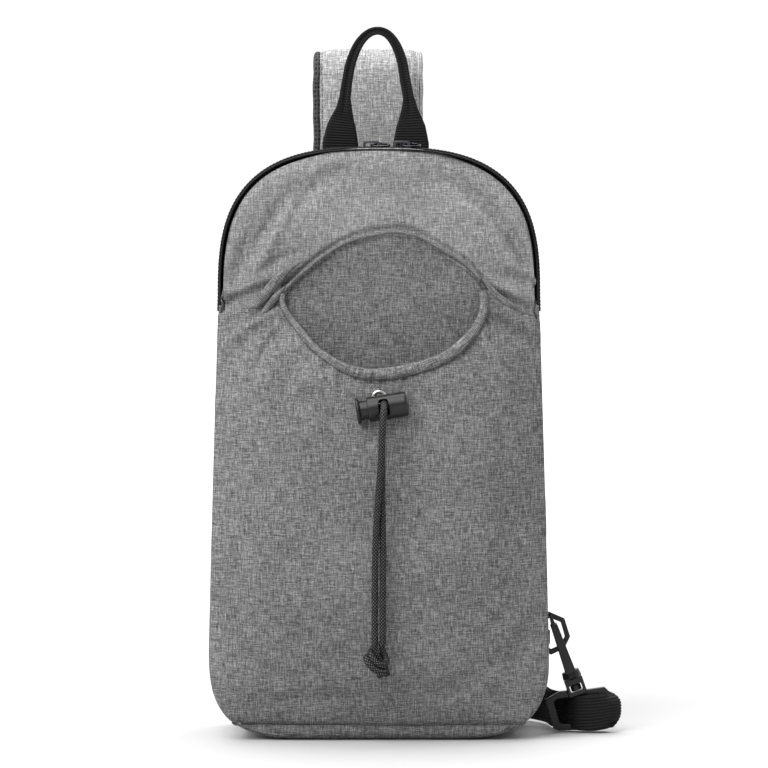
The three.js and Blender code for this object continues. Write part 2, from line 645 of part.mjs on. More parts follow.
function addLowerWebbing() {
  const upright = (x, y, z = WEB_Z) => ({ at: [x, y, z], across: UPRIGHT, width: LOWER_WEBBING_WIDTH });
  const stops = [
    { at: [STRAP_CENTRE_X, BACK_Y + 33.4, 66], across: [-1, 0, 0], width: LOWER_WEBBING_WIDTH },
    { at: [STRAP_CENTRE_X, BACK_Y + 32, 48], across: [-1, 0, 0.2], width: LOWER_WEBBING_WIDTH },
    { at: [-1, BACK_Y + 29, 30], across: [-0.75, 0, 0.65], width: LOWER_WEBBING_WIDTH },
    { at: [9, BACK_Y + 24, 17], across: [-0.3, 0, 0.95], width: LOWER_WEBBING_WIDTH },
    upright(25, ADJUSTER_Y, ADJUSTER_Z),
    upright(ADJUSTER_X, ADJUSTER_Y, ADJUSTER_Z),
    upright(65, ADJUSTER_Y - 0.4, ADJUSTER_Z),
    upright(86, ADJUSTER_Y - 5, WEB_Z + 1),
    upright(100, 42),
    upright(104.5, 20),
    upright(113, 7),
    upright(127, 5),
    upright(139, 4, WEB_Z + 1),
    upright(144, 0, WEB_Z + 2.4),
    upright(139, -4.6, WEB_Z + 1.8),
    upright(127, -5.4, WEB_Z + 0.6),
    upright(123.5, -4.3, WEB_Z),
  ];
  add('lower_webbing', ribbon(stops, WEBBING, 60), blackWebbing());
}

// The adjuster is a ladder frame: side rails beyond the webbing's edges, a bar at each end
// behind the webbing and the middle bar in front of it.
function addAdjuster() {
  const railZ = LOWER_WEBBING_WIDTH / 2 + GAP + 1.4;
  const rails = [-1, 1].map((side) => block(-11, 11, -3.9, 3.9, side * railZ - 1.2, side * railZ + 1.2));
  const ends = [-1, 1].map((side) => block(side * 9.6 - 1.4, side * 9.6 + 1.4, 1.9, 3.9, -railZ, railZ));
  const middle = block(-1.6, 1.6, -3.9, -1.9, -railZ, railZ);
  add('strap_adjuster', join(...rails, ...ends, middle).translate(ADJUSTER_X, ADJUSTER_Y, ADJUSTER_Z), blackPlastic());
}

// ---------------------------------------------------------------- side ring and snap hook
const RING_CORNER = [97.2, 45.4];
function addSideRing() {
  const outline = [[0, 4.2], [5.4, 0.6], [13.4, 4.4], [16.8, 11.6], [13.4, 22.4], [4, 26.5], [0, 22.5]];
  const inner = [[3, 5.6], [5.4, 4], [11.1, 6.5], [13.6, 11.7], [11.1, 20.2], [4.4, 22.9], [3, 21.2]];
  const shape = new THREE.Shape(outline.map(([x, z]) => new THREE.Vector2(x, z)));
  shape.holes.push(new THREE.Path(inner.map(([x, z]) => new THREE.Vector2(x, z))));
  add('side_ring', plate(shape, RING_BAR).translate(RING_CORNER[0], RING_Y, RING_CORNER[1]), blackPlastic());

  // The tab folds round the ring's straight side and is sewn flat to the side gusset.
  const barX0 = RING_CORNER[0] + RING_BAR / 2;
  const reach = RING_BAR / 2 + GAP + 0.8;
  const gussetX = 96.7;
  const fold = [[gussetX, 8.5], [gussetX + 0.1, 4.8], [barX0 - 0.5, reach + 0.2], [barX0 + 1.5, reach - 0.3],
    [barX0 + reach + 0.3, 0], [barX0 + 1.5, 0.3 - reach], [barX0 - 0.5, -reach - 0.2],
    [gussetX + 0.1, -4.8], [gussetX, -8.5]];
  const stops = fold.map(([x, y]) => ({ at: [x, RING_Y + y, 56.6], across: [0, 0, 1], width: 8.6 }));
  add('ring_tab', ribbon(stops, 0.8, 30), blackWebbing());
}

// The hook's frame ends in a neck with a window; the hook's post turns in the neck and its
// head shows in the window. The hook's long eye holds the ring, and the gate closes its back.
function addHook() {
  const place = (x, z, tilt) => new THREE.Matrix4()
    .makeRotationY(tilt)
    .setPosition(x, HOOK_Y, z);
  const points = (list) => list.map(([x, z]) => new THREE.Vector2(x, z));
  const outline = new THREE.Shape(points([[-20, 4.6], [-15, -12.4], [-11.5, -14], [15, -13], [19, -9.5],
    [18, 9.8], [15.5, 12.2], [4.5, 10.6], [-11, 9.6]]));
  outline.holes.push(new THREE.Path(points([[-14.8, 3.4], [-11.2, -9.2], [-9.5, -10.2], [12, -9.6],
    [13.6, -8], [13, 7.2], [11.5, 8.2], [-12.6, 5.2]])));
  const frame = plate(outline, 4).translate(FRAME_CENTRE[0], HOOK_Y, FRAME_CENTRE[1]);
  const onHook = (geometry) => geometry.applyMatrix4(place(...HOOK_FOOT, HOOK_TILT));
  const neck = onHook(block(-5.6, 5.6, -4, 4, -5.5, 5));
  const window = onHook(block(-3.7, 3.7, -6, 6, -3.2, 1.2));
  const hole = onHook(new THREE.CylinderGeometry(2.4, 2.4, 8, 16).rotateX(Math.PI / 2).translate(0, 0, 4));
  add('hook_frame', cut(join(frame, neck), window, hole), blackPlastic());

  const hook = new THREE.Group();
  hook.applyMatrix4(place(...HOOK_FOOT, HOOK_TILT));
  bag.add(hook);
  const upright = (radius, z0, z1, top = radius) => new THREE.CylinderGeometry(top, radius, z1 - z0, 16)
    .rotateX(Math.PI / 2)
    .translate(0, 0, (z0 + z1) / 2);
  const post = upright(1.9, -2, 8);
  const head = upright(3.2, -2.6, 0.7);
  const collar = upright(5.8, 5.4, 9.6, 5.2);
  const shaftOutline = new THREE.Shape(points([[-3.2, 9], [3.2, 9], [2.1, 39], [1.2, 39.4], [0.7, 45],
    [-0.9, 45], [-1.6, 39.4], [-2.1, 39]]));
  const shaft = plate(shaftOutline, 4).translate(0, -5.2, 0);
  const yoke = block(-3, 3, -5, 6.2, 9, 13);
  const nose = block(-2.1, 2.1, -6, 6.4, 35.6, 39);
  const tip = block(-2.1, 2.1, 3.2, 6.4, 30.6, 37);
  const pivotSlot = block(-1.9, 1.9, 1.4, 8, 10.2, 14);
  add('hook_body', cut(join(post, head, collar, shaft, yoke, nose, tip), pivotSlot), blackPlastic(), hook);

  const lever = block(-1.5, 1.5, 3, 6, 12, 30.2);
  const root = block(-1.5, 1.5, 2.4, 5.4, 10.6, 14);
  add('hook_gate', join(lever, root), blackPlastic(), hook);
}

addMainCompartment();
addZipSliders();
addPocket();
addEyelet();
addCordLock();
addDrawcord();
addHandle();
addStrap();
addLowerWebbing();
addAdjuster();
addSideRing();
addHook();

export default bag;
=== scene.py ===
# Looks of the sling bag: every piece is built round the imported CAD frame.
# The front of the bag faces -Y. Lengths in the shape functions are millimetres, as in the CAD,
# and MM turns them into metres when a mesh is made.
import math

import bmesh
import bpy
import numpy as np
from mathutils import Matrix, Vector, noise


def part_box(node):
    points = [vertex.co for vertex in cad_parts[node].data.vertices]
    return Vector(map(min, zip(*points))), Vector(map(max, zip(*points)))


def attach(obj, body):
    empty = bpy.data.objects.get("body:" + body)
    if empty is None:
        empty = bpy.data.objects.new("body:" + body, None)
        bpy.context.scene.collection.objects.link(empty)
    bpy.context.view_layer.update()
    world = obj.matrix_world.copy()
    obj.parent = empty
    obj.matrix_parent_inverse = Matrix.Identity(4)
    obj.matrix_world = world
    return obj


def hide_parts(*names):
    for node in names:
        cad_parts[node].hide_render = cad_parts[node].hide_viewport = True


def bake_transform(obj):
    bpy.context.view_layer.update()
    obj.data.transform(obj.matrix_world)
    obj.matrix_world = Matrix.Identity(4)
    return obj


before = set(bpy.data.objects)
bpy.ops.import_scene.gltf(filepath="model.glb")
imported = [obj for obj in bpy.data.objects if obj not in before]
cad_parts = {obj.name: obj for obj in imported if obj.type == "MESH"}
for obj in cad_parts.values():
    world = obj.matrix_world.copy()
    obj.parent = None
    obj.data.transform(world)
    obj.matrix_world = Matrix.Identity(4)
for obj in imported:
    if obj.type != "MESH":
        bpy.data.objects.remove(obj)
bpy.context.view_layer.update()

MM = 0.001

# ---------------------------------------------------------------- driving dimensions, mm
BASE_HALF_WIDTH = 100
DOME_HALF_WIDTH = 94.5
BASE_FLAT = 40
BASE_CORNER_HEIGHT = 55
BASE_CORNER_POWER = 3
DOME_START = 260
DOME_HEIGHT = 87.5
DOME_POWER = 2.9
BAG_TOP = DOME_START + DOME_HEIGHT
BACK_Y = 42
FRONT_EDGE_LOW = -36
FRONT_EDGE_HIGH = -16
ZIP_END = 251
PANEL_CROWN = 7
POCKET_BELLY = 20
FABRIC = 1.3

STRAP_X = -6
STRAP_WIDTH = 64
FOLD_RADIUS = 14
FOLD_Z = 390

CORD = 4
CORD_RADIUS = CORD / 2
EYELET_X = 0.2
EYELET_Z = 202.4
LOCK_X = 5
LOCK_Z = 197.2
LOCK_TILT = math.radians(9)
BARREL_RADIUS = 7.3
LOCK_STANDOFF = 3.4              # from the pocket's wall to the barrel


# ---------------------------------------------------------------- camera
def add_camera():
    """A long lens in front of the bag, a little above its middle."""
    distance = 2.4
    elevation = math.radians(2.5)
    target = Vector((0.003, -0.02, 0.2085))
    frame_width = 0.4531
    data = bpy.data.cameras.new("camera")
    data.sensor_width = 36
    data.lens = data.sensor_width * distance / frame_width
    camera = bpy.data.objects.new("camera", data)
    bpy.context.scene.collection.objects.link(camera)
    offset = Vector((0, -math.cos(elevation), math.sin(elevation))) * distance
    camera.location = target + offset
    camera.rotation_euler = (-offset).to_track_quat("-Z", "Y").to_euler()
    bpy.context.scene.camera = camera


# ---------------------------------------------------------------- numbers and curves
def lerp(a, b, t):
    return a + (b - a) * t


def smooth(x, low, high):
    t = np.clip((x - low) / (high - low), 0, 1)
    return t * t * (3 - 2 * t)


def catmull(points, count, closed=False):
    """`count` points evenly spaced along a smooth curve through the given points."""
    p = np.array(points, float)
    if closed:
        p = np.vstack([p[-1], p, p[0], p[1]])
    else:
        p = np.vstack([2 * p[0] - p[1], p, 2 * p[-1] - p[-2]])
    fine = []
    for i in range(1, len(p) - 2):
        a, b, c, d = p[i - 1], p[i], p[i + 1], p[i + 2]
        for t in np.linspace(0, 1, 24, endpoint=False):
            fine.append(0.5 * (2 * b + (c - a) * t + (2 * a - 5 * b + 4 * c - d) * t**2
                               + (3 * b - a - 3 * c + d) * t**3))
    fine.append(p[-2])
    return resample(np.array(fine), count)


def distance_along(line):
    """Distance from the line's first point to each of its points."""
    steps = np.linalg.norm(np.diff(line, axis=0), axis=1)
    return np.concatenate([[0], np.cumsum(steps)])


def resample(line, count):
    """The line as `count` points with equal spacing."""
    distance = distance_along(line)
    wanted = np.linspace(0, distance[-1], count)
    return np.stack([np.interp(wanted, distance, line[:, k]) for k in range(line.shape[1])], axis=1)


def unit(vectors):
    return vectors / np.linalg.norm(vectors, axis=-1, keepdims=True)


def circle(count):
    """Angles of `count` equal steps round a circle."""
    return np.linspace(0, 2 * np.pi, count, endpoint=False)


def grid_of(*measures):
    """One grid of points from measures that each run along its rows, its columns or both."""
    return np.stack(np.broadcast_arrays(*measures), axis=2)


def lumps(points, size, seed=0.0):
    """Smooth noise from -1 to 1 at each point; `size` is the size of its lumps in mm."""
    flat = points.reshape(-1, points.shape[-1])
    out = np.empty(len(flat))
    for i, p in enumerate(flat):
        y = p[1] if len(p) == 3 else 0.0
        out[i] = noise.noise(Vector((p[0] / size + seed, y / size, p[-1] / size - seed)))
    return out.reshape(points.shape[:-1]) * 1.6


# ---------------------------------------------------------------- the bag's form
def side_half_width(z):
    t = np.clip((z - BASE_CORNER_HEIGHT) / (DOME_START - BASE_CORNER_HEIGHT), 0, 1)
    return lerp(BASE_HALF_WIDTH, DOME_HALF_WIDTH, t)


def front_edge(z):
    return lerp(FRONT_EDGE_LOW, FRONT_EDGE_HIGH, smooth(z, 110, BAG_TOP))


def crown(x, z):
    s = np.clip(np.abs(x) / side_half_width(z), 0, 1)
    t = np.clip(np.abs(z - BAG_TOP / 2) / (BAG_TOP / 2), 0, 1)
    return (1 - s**3.6) * (1 - t**5)


def panel_y(x, z):
    """Depth of the front panel's outer face."""
    return front_edge(z) - PANEL_CROWN * crown(x, z)


def pocket_y(x, z):
    """Depth of the pocket's front wall: a full belly that closes on the panel at the mouth's corners."""
    closing = 1 - 0.93 * smooth(z, 208, 268)
    return panel_y(x, z) - 1.8 - POCKET_BELLY * crown(x, z)**1.2 * closing


def dome_line(s, inset):
    """Height of the dome's top at a share `s` of its half width."""
    return DOME_START + (DOME_HEIGHT - inset) * (1 - np.abs(s)**DOME_POWER)**(1 / DOME_POWER)


def corner_line(x):
    """Height of the base's rounded corners at x."""
    k = np.clip((np.abs(x) - BASE_FLAT) / (BASE_HALF_WIDTH - BASE_FLAT), 0, 1)
    return BASE_CORNER_HEIGHT * (1 - (1 - k**BASE_CORNER_POWER)**(1 / BASE_CORNER_POWER))


def outline(inset, count):
    """The bag's outline in x and z, from the middle of the base to the right and round to it again."""
    right = []
    power = 2 / BASE_CORNER_POWER
    for angle in np.linspace(0, math.pi / 2, 40):
        x = BASE_FLAT + (BASE_HALF_WIDTH - BASE_FLAT - inset) * math.sin(angle)**power
        right.append((x, BASE_CORNER_HEIGHT - (BASE_CORNER_HEIGHT - inset) * math.cos(angle)**power))
    for z in np.linspace(70, DOME_START - 5, 24):
        right.append((side_half_width(z) - inset, z))
    power = 2 / DOME_POWER
    for angle in np.linspace(0, math.pi / 2, 60):
        x = (DOME_HALF_WIDTH - inset) * math.cos(angle)**power
        right.append((x, DOME_START + (DOME_HEIGHT - inset) * math.sin(angle)**power))
    left = [(-x, z) for x, z in reversed(right[:-1])]
    return resample(np.array([(0, inset)] + right + left + [(0, inset)]), count)


# ---------------------------------------------------------------- meshes
def link(name, mesh, material, body="root"):
    obj = bpy.data.objects.new(name, mesh)
    bpy.context.scene.collection.objects.link(obj)
    if material is not None:
        mesh.materials.append(material)
    if body is not None:
        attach(obj, body)
    return obj


def stand_in(node):
    """Shows a finished piece in place of its CAD node."""
    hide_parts(node)


def mesh_from(name, verts, faces, uvs=None, smooth_faces=True):
    """A mesh from points in mm; `uvs` is one (u, v) in mm for each point."""
    mesh = bpy.data.meshes.new(name)
    mesh.from_pydata((np.asarray(verts, float) * MM).tolist(), [], faces)
    mesh.validate()
    if uvs is not None:
        layer = mesh.uv_layers.new(name="weave")
        index = np.empty(len(mesh.loops), np.int32)
        mesh.loops.foreach_get("vertex_index", index)
        layer.data.foreach_set("uv", (np.asarray(uvs, float)[index] * MM).astype(np.float32).ravel())
    mesh.polygons.foreach_set("use_smooth", [smooth_faces] * len(mesh.polygons))
    mesh.update()
    return mesh


def grid_faces(rows, columns, close_rows=False, close_columns=False, start=0, flip=False):
    faces = []
    for r in range(rows if close_rows else rows - 1):
        for c in range(columns if close_columns else columns - 1):
            r2 = (r + 1) % rows
            c2 = (c + 1) % columns
            quad = (r * columns + c, r * columns + c2, r2 * columns + c2, r2 * columns + c)
            quad = tuple(start + i for i in quad)
            faces.append(quad[::-1] if flip else quad)
    return faces


def surface_normals(points, close_rows=False, close_columns=False):
    def slope(axis, closed):
        if closed:
            return np.roll(points, -1, axis) - np.roll(points, 1, axis)
        return np.gradient(points, axis=axis)
    normal = np.cross(slope(1, close_columns), slope(0, close_rows))
    length = np.linalg.norm(normal, axis=2, keepdims=True)
    return normal / np.maximum(length, 1e-9)


def fabric(name, points, uv, material, thickness=FABRIC, outward=None):
    """A sheet of fabric with real thickness: `points` (rows, columns, 3) is its outer face."""
    rows, columns = points.shape[:2]
    normal = surface_normals(points)
    if outward is not None and np.mean(normal @ np.array(outward, float)) < 0:
        points = points[:, ::-1]
        uv = uv[:, ::-1]
        normal = surface_normals(points)
    inner = points - normal * thickness
    verts = np.concatenate([points.reshape(-1, 3), inner.reshape(-1, 3)])
    size = rows * columns
    faces = grid_faces(rows, columns) + grid_faces(rows, columns, start=size, flip=True)
    border = [(0, c) for c in range(columns)]
    border += [(r, columns - 1) for r in range(1, rows)]
    border += [(rows - 1, c) for c in range(columns - 2, -1, -1)]
    border += [(r, 0) for r in range(rows - 2, 0, -1)]
    ids = [r * columns + c for r, c in border]
    for a, b in zip(ids, ids[1:] + ids[:1]):
        faces.append((b, a, a + size, b + size))
    mesh = mesh_from(name, verts, faces, np.concatenate([uv.reshape(-1, 2)] * 2))
    return link(name, mesh, material)


def tube(name, rings, uv, material, body="root", close_rows=False):
    """A closed solid from rings of points (rings, around, 3), capped at both ends."""
    count, around = rings.shape[:2]
    verts = rings.reshape(-1, 3).tolist()
    faces = grid_faces(count, around, close_rows, True)
    uvs = uv.reshape(-1, 2).tolist()
    if not close_rows:
        for ring, flip in ((0, True), (count - 1, False)):
            centre = len(verts)
            verts.append(rings[ring].mean(axis=0).tolist())
            uvs.append(uv[ring].mean(axis=0).tolist())
            for i in range(around):
                a = ring * around + i
                b = ring * around + (i + 1) % around
                faces.append((centre, b, a) if flip else (centre, a, b))
    mesh = mesh_from(name, verts, faces, uvs)
    obj = link(name, mesh, material, body)
    face_out(mesh)
    return obj


def face_out(mesh):
    """Turns the faces of a closed mesh outwards."""
    bm = bmesh.new()
    bm.from_mesh(mesh)
    bmesh.ops.recalc_face_normals(bm, faces=bm.faces)
    bm.to_mesh(mesh)
    bm.free()


def frames(path, across):
    """Tangent, across and normal directions along a path, with `across` kept square to the path."""
    tangent = unit(np.gradient(path, axis=0))
    across = np.broadcast_to(np.array(across, float), path.shape)
    across = unit(across - tangent * np.sum(across * tangent, axis=1, keepdims=True))
    return tangent, across, np.cross(tangent, across)


def swept(path, side, normal, wide, deep, angle):
    """Rings of points round a path: `wide` is the reach along `side` and `deep` along `normal`."""
    across = (np.cos(angle) * wide)[..., None]
    through = (np.sin(angle) * deep)[..., None]
    return path[:, None] + np.atleast_2d(side)[:, None] * across + np.atleast_2d(normal)[:, None] * through


def rounded_section(width, thickness, around):
    """A flat section with round edges: points (w, n) evenly spaced over both faces of a strip."""
    across = np.linspace(-1, 1, around // 2)
    face = np.sqrt(np.clip(1 - np.abs(across)**14, 0, 1)) * 0.96 + 0.04
    w = np.concatenate([across, across[::-1]]) * width / 2
    n = np.concatenate([face, -face[::-1]]) * thickness / 2
    return w, n


def strip(name, stops, thickness, material, steps, body="root", around=36, shape=None):
    """A band along a path. Stops give place, width direction and width; `shape` may move points."""
    path = catmull([s[0] for s in stops], steps)
    length = distance_along(path)
    chord = distance_along(np.array([s[0] for s in stops], float))
    place = chord / chord[-1] * length[-1]
    across = np.stack([np.interp(length, place, [s[1][k] for s in stops]) for k in range(3)], axis=1)
    width = np.interp(length, place, [s[2] for s in stops])
    _, side, normal = frames(path, across)
    w, n = rounded_section(1, thickness, around)
    offset_w = w[None, :] * width[:, None]
    offset_n = np.broadcast_to(n[None, :], offset_w.shape).copy()
    if shape is not None:
        offset_w, offset_n = shape(offset_w, offset_n, length[:, None], width[:, None])
    rings = path[:, None] + side[:, None] * offset_w[..., None] + normal[:, None] * offset_n[..., None]
    uv = np.stack([offset_w, np.broadcast_to(length[:, None], offset_w.shape)], axis=2)
    return tube(name, rings, uv, material, body), path


# one stitch from end to end: place along it, share of the radius, lift in radii
STITCH_RINGS = (
    (-0.5, 0.35, -0.9), (-0.32, 0.9, -0.1), (0, 1.0, 0.25), (0.32, 0.9, -0.1), (0.5, 0.35, -0.9),
)
STITCH_LIFT = 0.05


def stitches(name, line, outward, pitch, length, radius):
    """A row of thread stitches along a line of points; `outward` is the direction they stand proud."""
    total = distance_along(line)[-1]
    count = max(int(total / pitch), 2)
    fine = resample(line, count * 4 + 1)
    out = np.broadcast_to(np.array(outward, float), line.shape)
    out = np.stack([np.interp(np.linspace(0, 1, len(fine)), np.linspace(0, 1, len(line)), out[:, k])
                    for k in range(3)], axis=1)
    verts = []
    faces = []
    sides = 6
    rings = len(STITCH_RINGS)
    for k in range(count):
        i = 4 * k + 2
        along = unit(fine[i + 1] - fine[i - 1])
        up = unit(out[i] - along * np.dot(out[i], along))
        side = np.cross(along, up)
        start = len(verts)
        for place, fat, lift in STITCH_RINGS:
            centre = fine[i] + along * place * length + up * (radius * lift + STITCH_LIFT)
            for j in range(sides):
                angle = 2 * math.pi * j / sides
                verts.append(centre + radius * fat * (up * math.cos(angle) + side * math.sin(angle)))
        faces += grid_faces(rings, sides, close_columns=True, start=start)
        faces.append(tuple(start + j for j in reversed(range(sides))))
        faces.append(tuple(start + (rings - 1) * sides + j for j in range(sides)))
    mesh = mesh_from(name, verts, faces)
    face_out(mesh)
    link(name, mesh, THREAD)


def softened(node, material, body, voxel, rounds):
    """A CAD piece with moulded, rounded edges: remeshed finely and smoothed, shown in its place."""
    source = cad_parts[node]
    mesh = source.data.copy()
    mesh.materials.clear()
    obj = link(node + "_moulded", mesh, material, None)
    remesh = obj.modifiers.new("remesh", "REMESH")
    remesh.mode = "VOXEL"
    remesh.voxel_size = voxel * MM
    remesh.use_smooth_shade = True
    relax = obj.modifiers.new("relax", "SMOOTH")
    relax.factor = 0.5
    relax.iterations = rounds
    depsgraph = bpy.context.evaluated_depsgraph_get()
    made = bpy.data.meshes.new_from_object(obj.evaluated_get(depsgraph))
    obj.modifiers.clear()
    obj.data = made
    made.materials.clear()
    made.materials.append(material)
    made.polygons.foreach_set("use_smooth", [True] * len(made.polygons))
    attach(obj, body)
    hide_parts(node)
    return obj


# ---------------------------------------------------------------- materials
class Nodes:
    """A material's node tree, with short calls for the nodes that the materials use."""

    def __init__(self, name):
        self.material = bpy.data.materials.new(name)
        self.material.use_nodes = True
        self.tree = self.material.node_tree
        self.shader = self.tree.nodes["Principled BSDF"]

    def new(self, kind, **settings):
        node = self.tree.nodes.new(kind)
        for key, value in settings.items():
            setattr(node, key, value)
        return node

    def wire(self, source, target):
        self.tree.links.new(source, target)
        return target

    def uv(self, x_size, y_size):
        """Weave coordinates, one unit for each x_size across and y_size along (in mm)."""
        uv = self.new("ShaderNodeUVMap", uv_map="weave")
        mapping = self.new("ShaderNodeMapping")
        mapping.inputs["Scale"].default_value = (1 / (x_size * MM), 1 / (y_size * MM), 1)
        self.wire(uv.outputs["UV"], mapping.inputs["Vector"])
        return mapping.outputs["Vector"]

    def place(self, size):
        """Object coordinates, one unit for each `size` mm."""
        coordinates = self.new("ShaderNodeTexCoord")
        mapping = self.new("ShaderNodeMapping")
        mapping.inputs["Scale"].default_value = (1 / (size * MM),) * 3
        self.wire(coordinates.outputs["Object"], mapping.inputs["Vector"])
        return mapping.outputs["Vector"]

    def noise(self, vector, detail=2.0, roughness=0.5):
        texture = self.new("ShaderNodeTexNoise")
        texture.inputs["Scale"].default_value = 1
        texture.inputs["Detail"].default_value = detail
        texture.inputs["Roughness"].default_value = roughness
        self.wire(vector, texture.inputs["Vector"])
        return texture.outputs["Fac"]

    def wave(self, vector, axis="X", distortion=0.0):
        texture = self.new("ShaderNodeTexWave", bands_direction=axis)
        texture.inputs["Scale"].default_value = math.pi / 10
        texture.inputs["Distortion"].default_value = distortion
        self.wire(vector, texture.inputs["Vector"])
        return texture.outputs["Fac"]

    def math(self, operation, a, b=None, clamp=False):
        node = self.new("ShaderNodeMath", operation=operation, use_clamp=clamp)
        for socket, value in zip(node.inputs, (a, b)):
            if value is None:
                continue
            if isinstance(value, (int, float)):
                socket.default_value = value
            else:
                self.wire(value, socket)
        return node.outputs["Value"]

    def mix(self, factor, a, b):
        node = self.new("ShaderNodeMix", data_type="FLOAT")
        for key, value in (("Factor", factor), ("A", a), ("B", b)):
            if isinstance(value, (int, float)):
                node.inputs[key].default_value = value
            else:
                self.wire(value, node.inputs[key])
        return node.outputs["Result"]

    def steep(self, value, slope):
        """The value with its contrast raised round the middle, kept from 0 to 1."""
        return self.math("ADD", self.math("MULTIPLY", self.math("SUBTRACT", value, 0.5), slope), 0.5, True)

    def ramp(self, factor, stops):
        node = self.new("ShaderNodeValToRGB")
        elements = node.color_ramp.elements
        while len(elements) < len(stops):
            elements.new(0.5)
        for element, (position, colour) in zip(elements, stops):
            element.position = position
            element.color = (*colour, 1)
        self.wire(factor, node.inputs["Fac"])
        return node.outputs["Color"]

    def bump(self, height, strength, distance):
        node = self.new("ShaderNodeBump")
        node.inputs["Strength"].default_value = strength
        node.inputs["Distance"].default_value = distance * MM
        self.wire(height, node.inputs["Height"])
        self.wire(node.outputs["Normal"], self.shader.inputs["Normal"])

    def set(self, **values):
        for key, value in values.items():
            self.shader.inputs[key.replace("_", " ")].default_value = value


SLUB_CONTRAST = 5.2


def grey(value, warmth=0.0):
    return (value * (1 + warmth), value, value * (1 - warmth))


def heather(name, level, contrast=1.0):
    """Two-tone plain weave: warp and weft yarns change from dark to light in long uneven slubs."""
    n = Nodes(name)
    warp = n.noise(n.uv(0.7, 10), 3, 0.6)
    weft = n.noise(n.uv(9, 0.7), 3, 0.6)
    short_warp = n.noise(n.uv(0.6, 3.6), 2)
    short_weft = n.noise(n.uv(3.2, 0.6), 2)
    cross = n.noise(n.uv(0.8, 0.8), 1)
    warp_tone = n.mix(0.4, warp, short_warp)
    weft_tone = n.mix(0.4, weft, short_weft)
    woven = n.mix(n.steep(cross, 2.4), warp_tone, weft_tone)
    patches = n.math("SUBTRACT", n.noise(n.place(55), 2), 0.5)
    tone = n.steep(woven, SLUB_CONTRAST * contrast)
    shaded = n.math("ADD", tone, n.math("MULTIPLY", patches, 0.3))
    dark, light = level * 0.34, level * 1.95
    colour = n.ramp(shaded, [(0.0, grey(dark)), (0.5, grey(level * 0.93)), (1.0, grey(light))])
    n.wire(colour, n.shader.inputs["Base Color"])
    n.wire(n.mix(tone, 0.98, 0.82), n.shader.inputs["Roughness"])
    yarns = n.math("ADD", n.wave(n.uv(0.9, 50), "X", 0.5), n.wave(n.uv(50, 0.9), "Y", 0.5))
    n.bump(n.math("ADD", yarns, n.math("MULTIPLY", woven, 5)), 0.7, 0.14)
    n.set(Specular_IOR_Level=0.12)
    return n.material


def webbing_material(name, level=0.006, across=1.5, along=0.8):
    """Black woven webbing: tight yarns that catch a little light over the ribs."""
    n = Nodes(name)
    yarn = n.wave(n.uv(along, across), "DIAGONAL", 0.6)
    fuzz = n.noise(n.uv(0.5, 1.4), 3)
    tone = n.mix(0.7, yarn, fuzz)
    colour = n.ramp(tone, [(0.25, grey(level * 0.4)), (0.55, grey(level)), (0.85, grey(level * 3))])
    n.wire(colour, n.shader.inputs["Base Color"])
    n.wire(n.mix(fuzz, 0.5, 0.8), n.shader.inputs["Roughness"])
    n.bump(n.math("ADD", yarn, fuzz), 0.35, 0.1)
    n.set(Specular_IOR_Level=0.16)
    return n.material


def mesh_material(name, level=0.045):
    """Dark air mesh: a knitted layer with rows of small round holes."""
    n = Nodes(name)
    cells = n.new("ShaderNodeTexVoronoi")
    cells.inputs["Scale"].default_value = 1
    cells.inputs["Randomness"].default_value = 0.25
    n.wire(n.uv(2.6, 2.2), cells.inputs["Vector"])
    hole = cells.outputs["Distance"]
    fuzz = n.noise(n.uv(0.5, 0.5), 2)
    colour = n.ramp(hole, [(0.1, grey(level * 0.15)), (0.3, grey(level * 0.5)), (0.42, grey(level * 1.3))])
    n.wire(colour, n.shader.inputs["Base Color"])
    n.wire(n.mix(fuzz, 0.8, 1.0), n.shader.inputs["Roughness"])
    n.bump(n.math("ADD", hole, n.math("MULTIPLY", fuzz, 0.2)), 0.9, 0.8)
    n.set(Specular_IOR_Level=0.2)
    return n.material


def plastic_material(name, level=0.008):
    """Satin black moulded plastic with a fine grain and faintly polished patches."""
    n = Nodes(name)
    grain = n.noise(n.place(0.35), 3, 0.6)
    patches = n.noise(n.place(7), 3)
    colour = n.ramp(patches, [(0.3, grey(level * 0.8)), (0.75, grey(level * 1.5))])
    n.wire(colour, n.shader.inputs["Base Color"])
    n.wire(n.mix(patches, 0.26, 0.42), n.shader.inputs["Roughness"])
    n.bump(grain, 0.1, 0.05)
    n.set(Specular_IOR_Level=0.34)
    return n.material


def metal_material(name, colour, rough=(0.15, 0.32)):
    """Plated metal with fine hairlines and uneven polish."""
    n = Nodes(name)
    hair = n.noise(n.place(0.5), 4, 0.7)
    patches = n.noise(n.place(4), 2)
    tint = n.ramp(patches, [(0.3, tuple(0.8 * c for c in colour)), (0.7, colour)])
    n.wire(tint, n.shader.inputs["Base Color"])
    n.wire(n.mix(hair, *rough), n.shader.inputs["Roughness"])
    n.bump(hair, 0.08, 0.03)
    n.set(Metallic=1.0)
    return n.material


def cord_material(name, level=0.007):
    """Braided cord: each bundle of filaments catches light along its length."""
    n = Nodes(name)
    filaments = n.noise(n.uv(0.3, 0.9), 3)
    crossing = n.math("MULTIPLY", n.wave(n.uv(1.0, 1.0), "DIAGONAL"), n.wave(n.uv(-1.0, 1.0), "DIAGONAL"))
    tone = n.math("ADD", n.math("MULTIPLY", crossing, 0.8), n.math("MULTIPLY", filaments, 0.35))
    colour = n.ramp(tone, [(0.15, grey(level * 0.4)), (0.4, grey(level * 1.2)), (0.8, grey(level * 13))])
    n.wire(colour, n.shader.inputs["Base Color"])
    n.wire(n.mix(filaments, 0.45, 0.8), n.shader.inputs["Roughness"])
    n.bump(tone, 0.4, 0.1)
    n.set(Specular_IOR_Level=0.2)
    return n.material


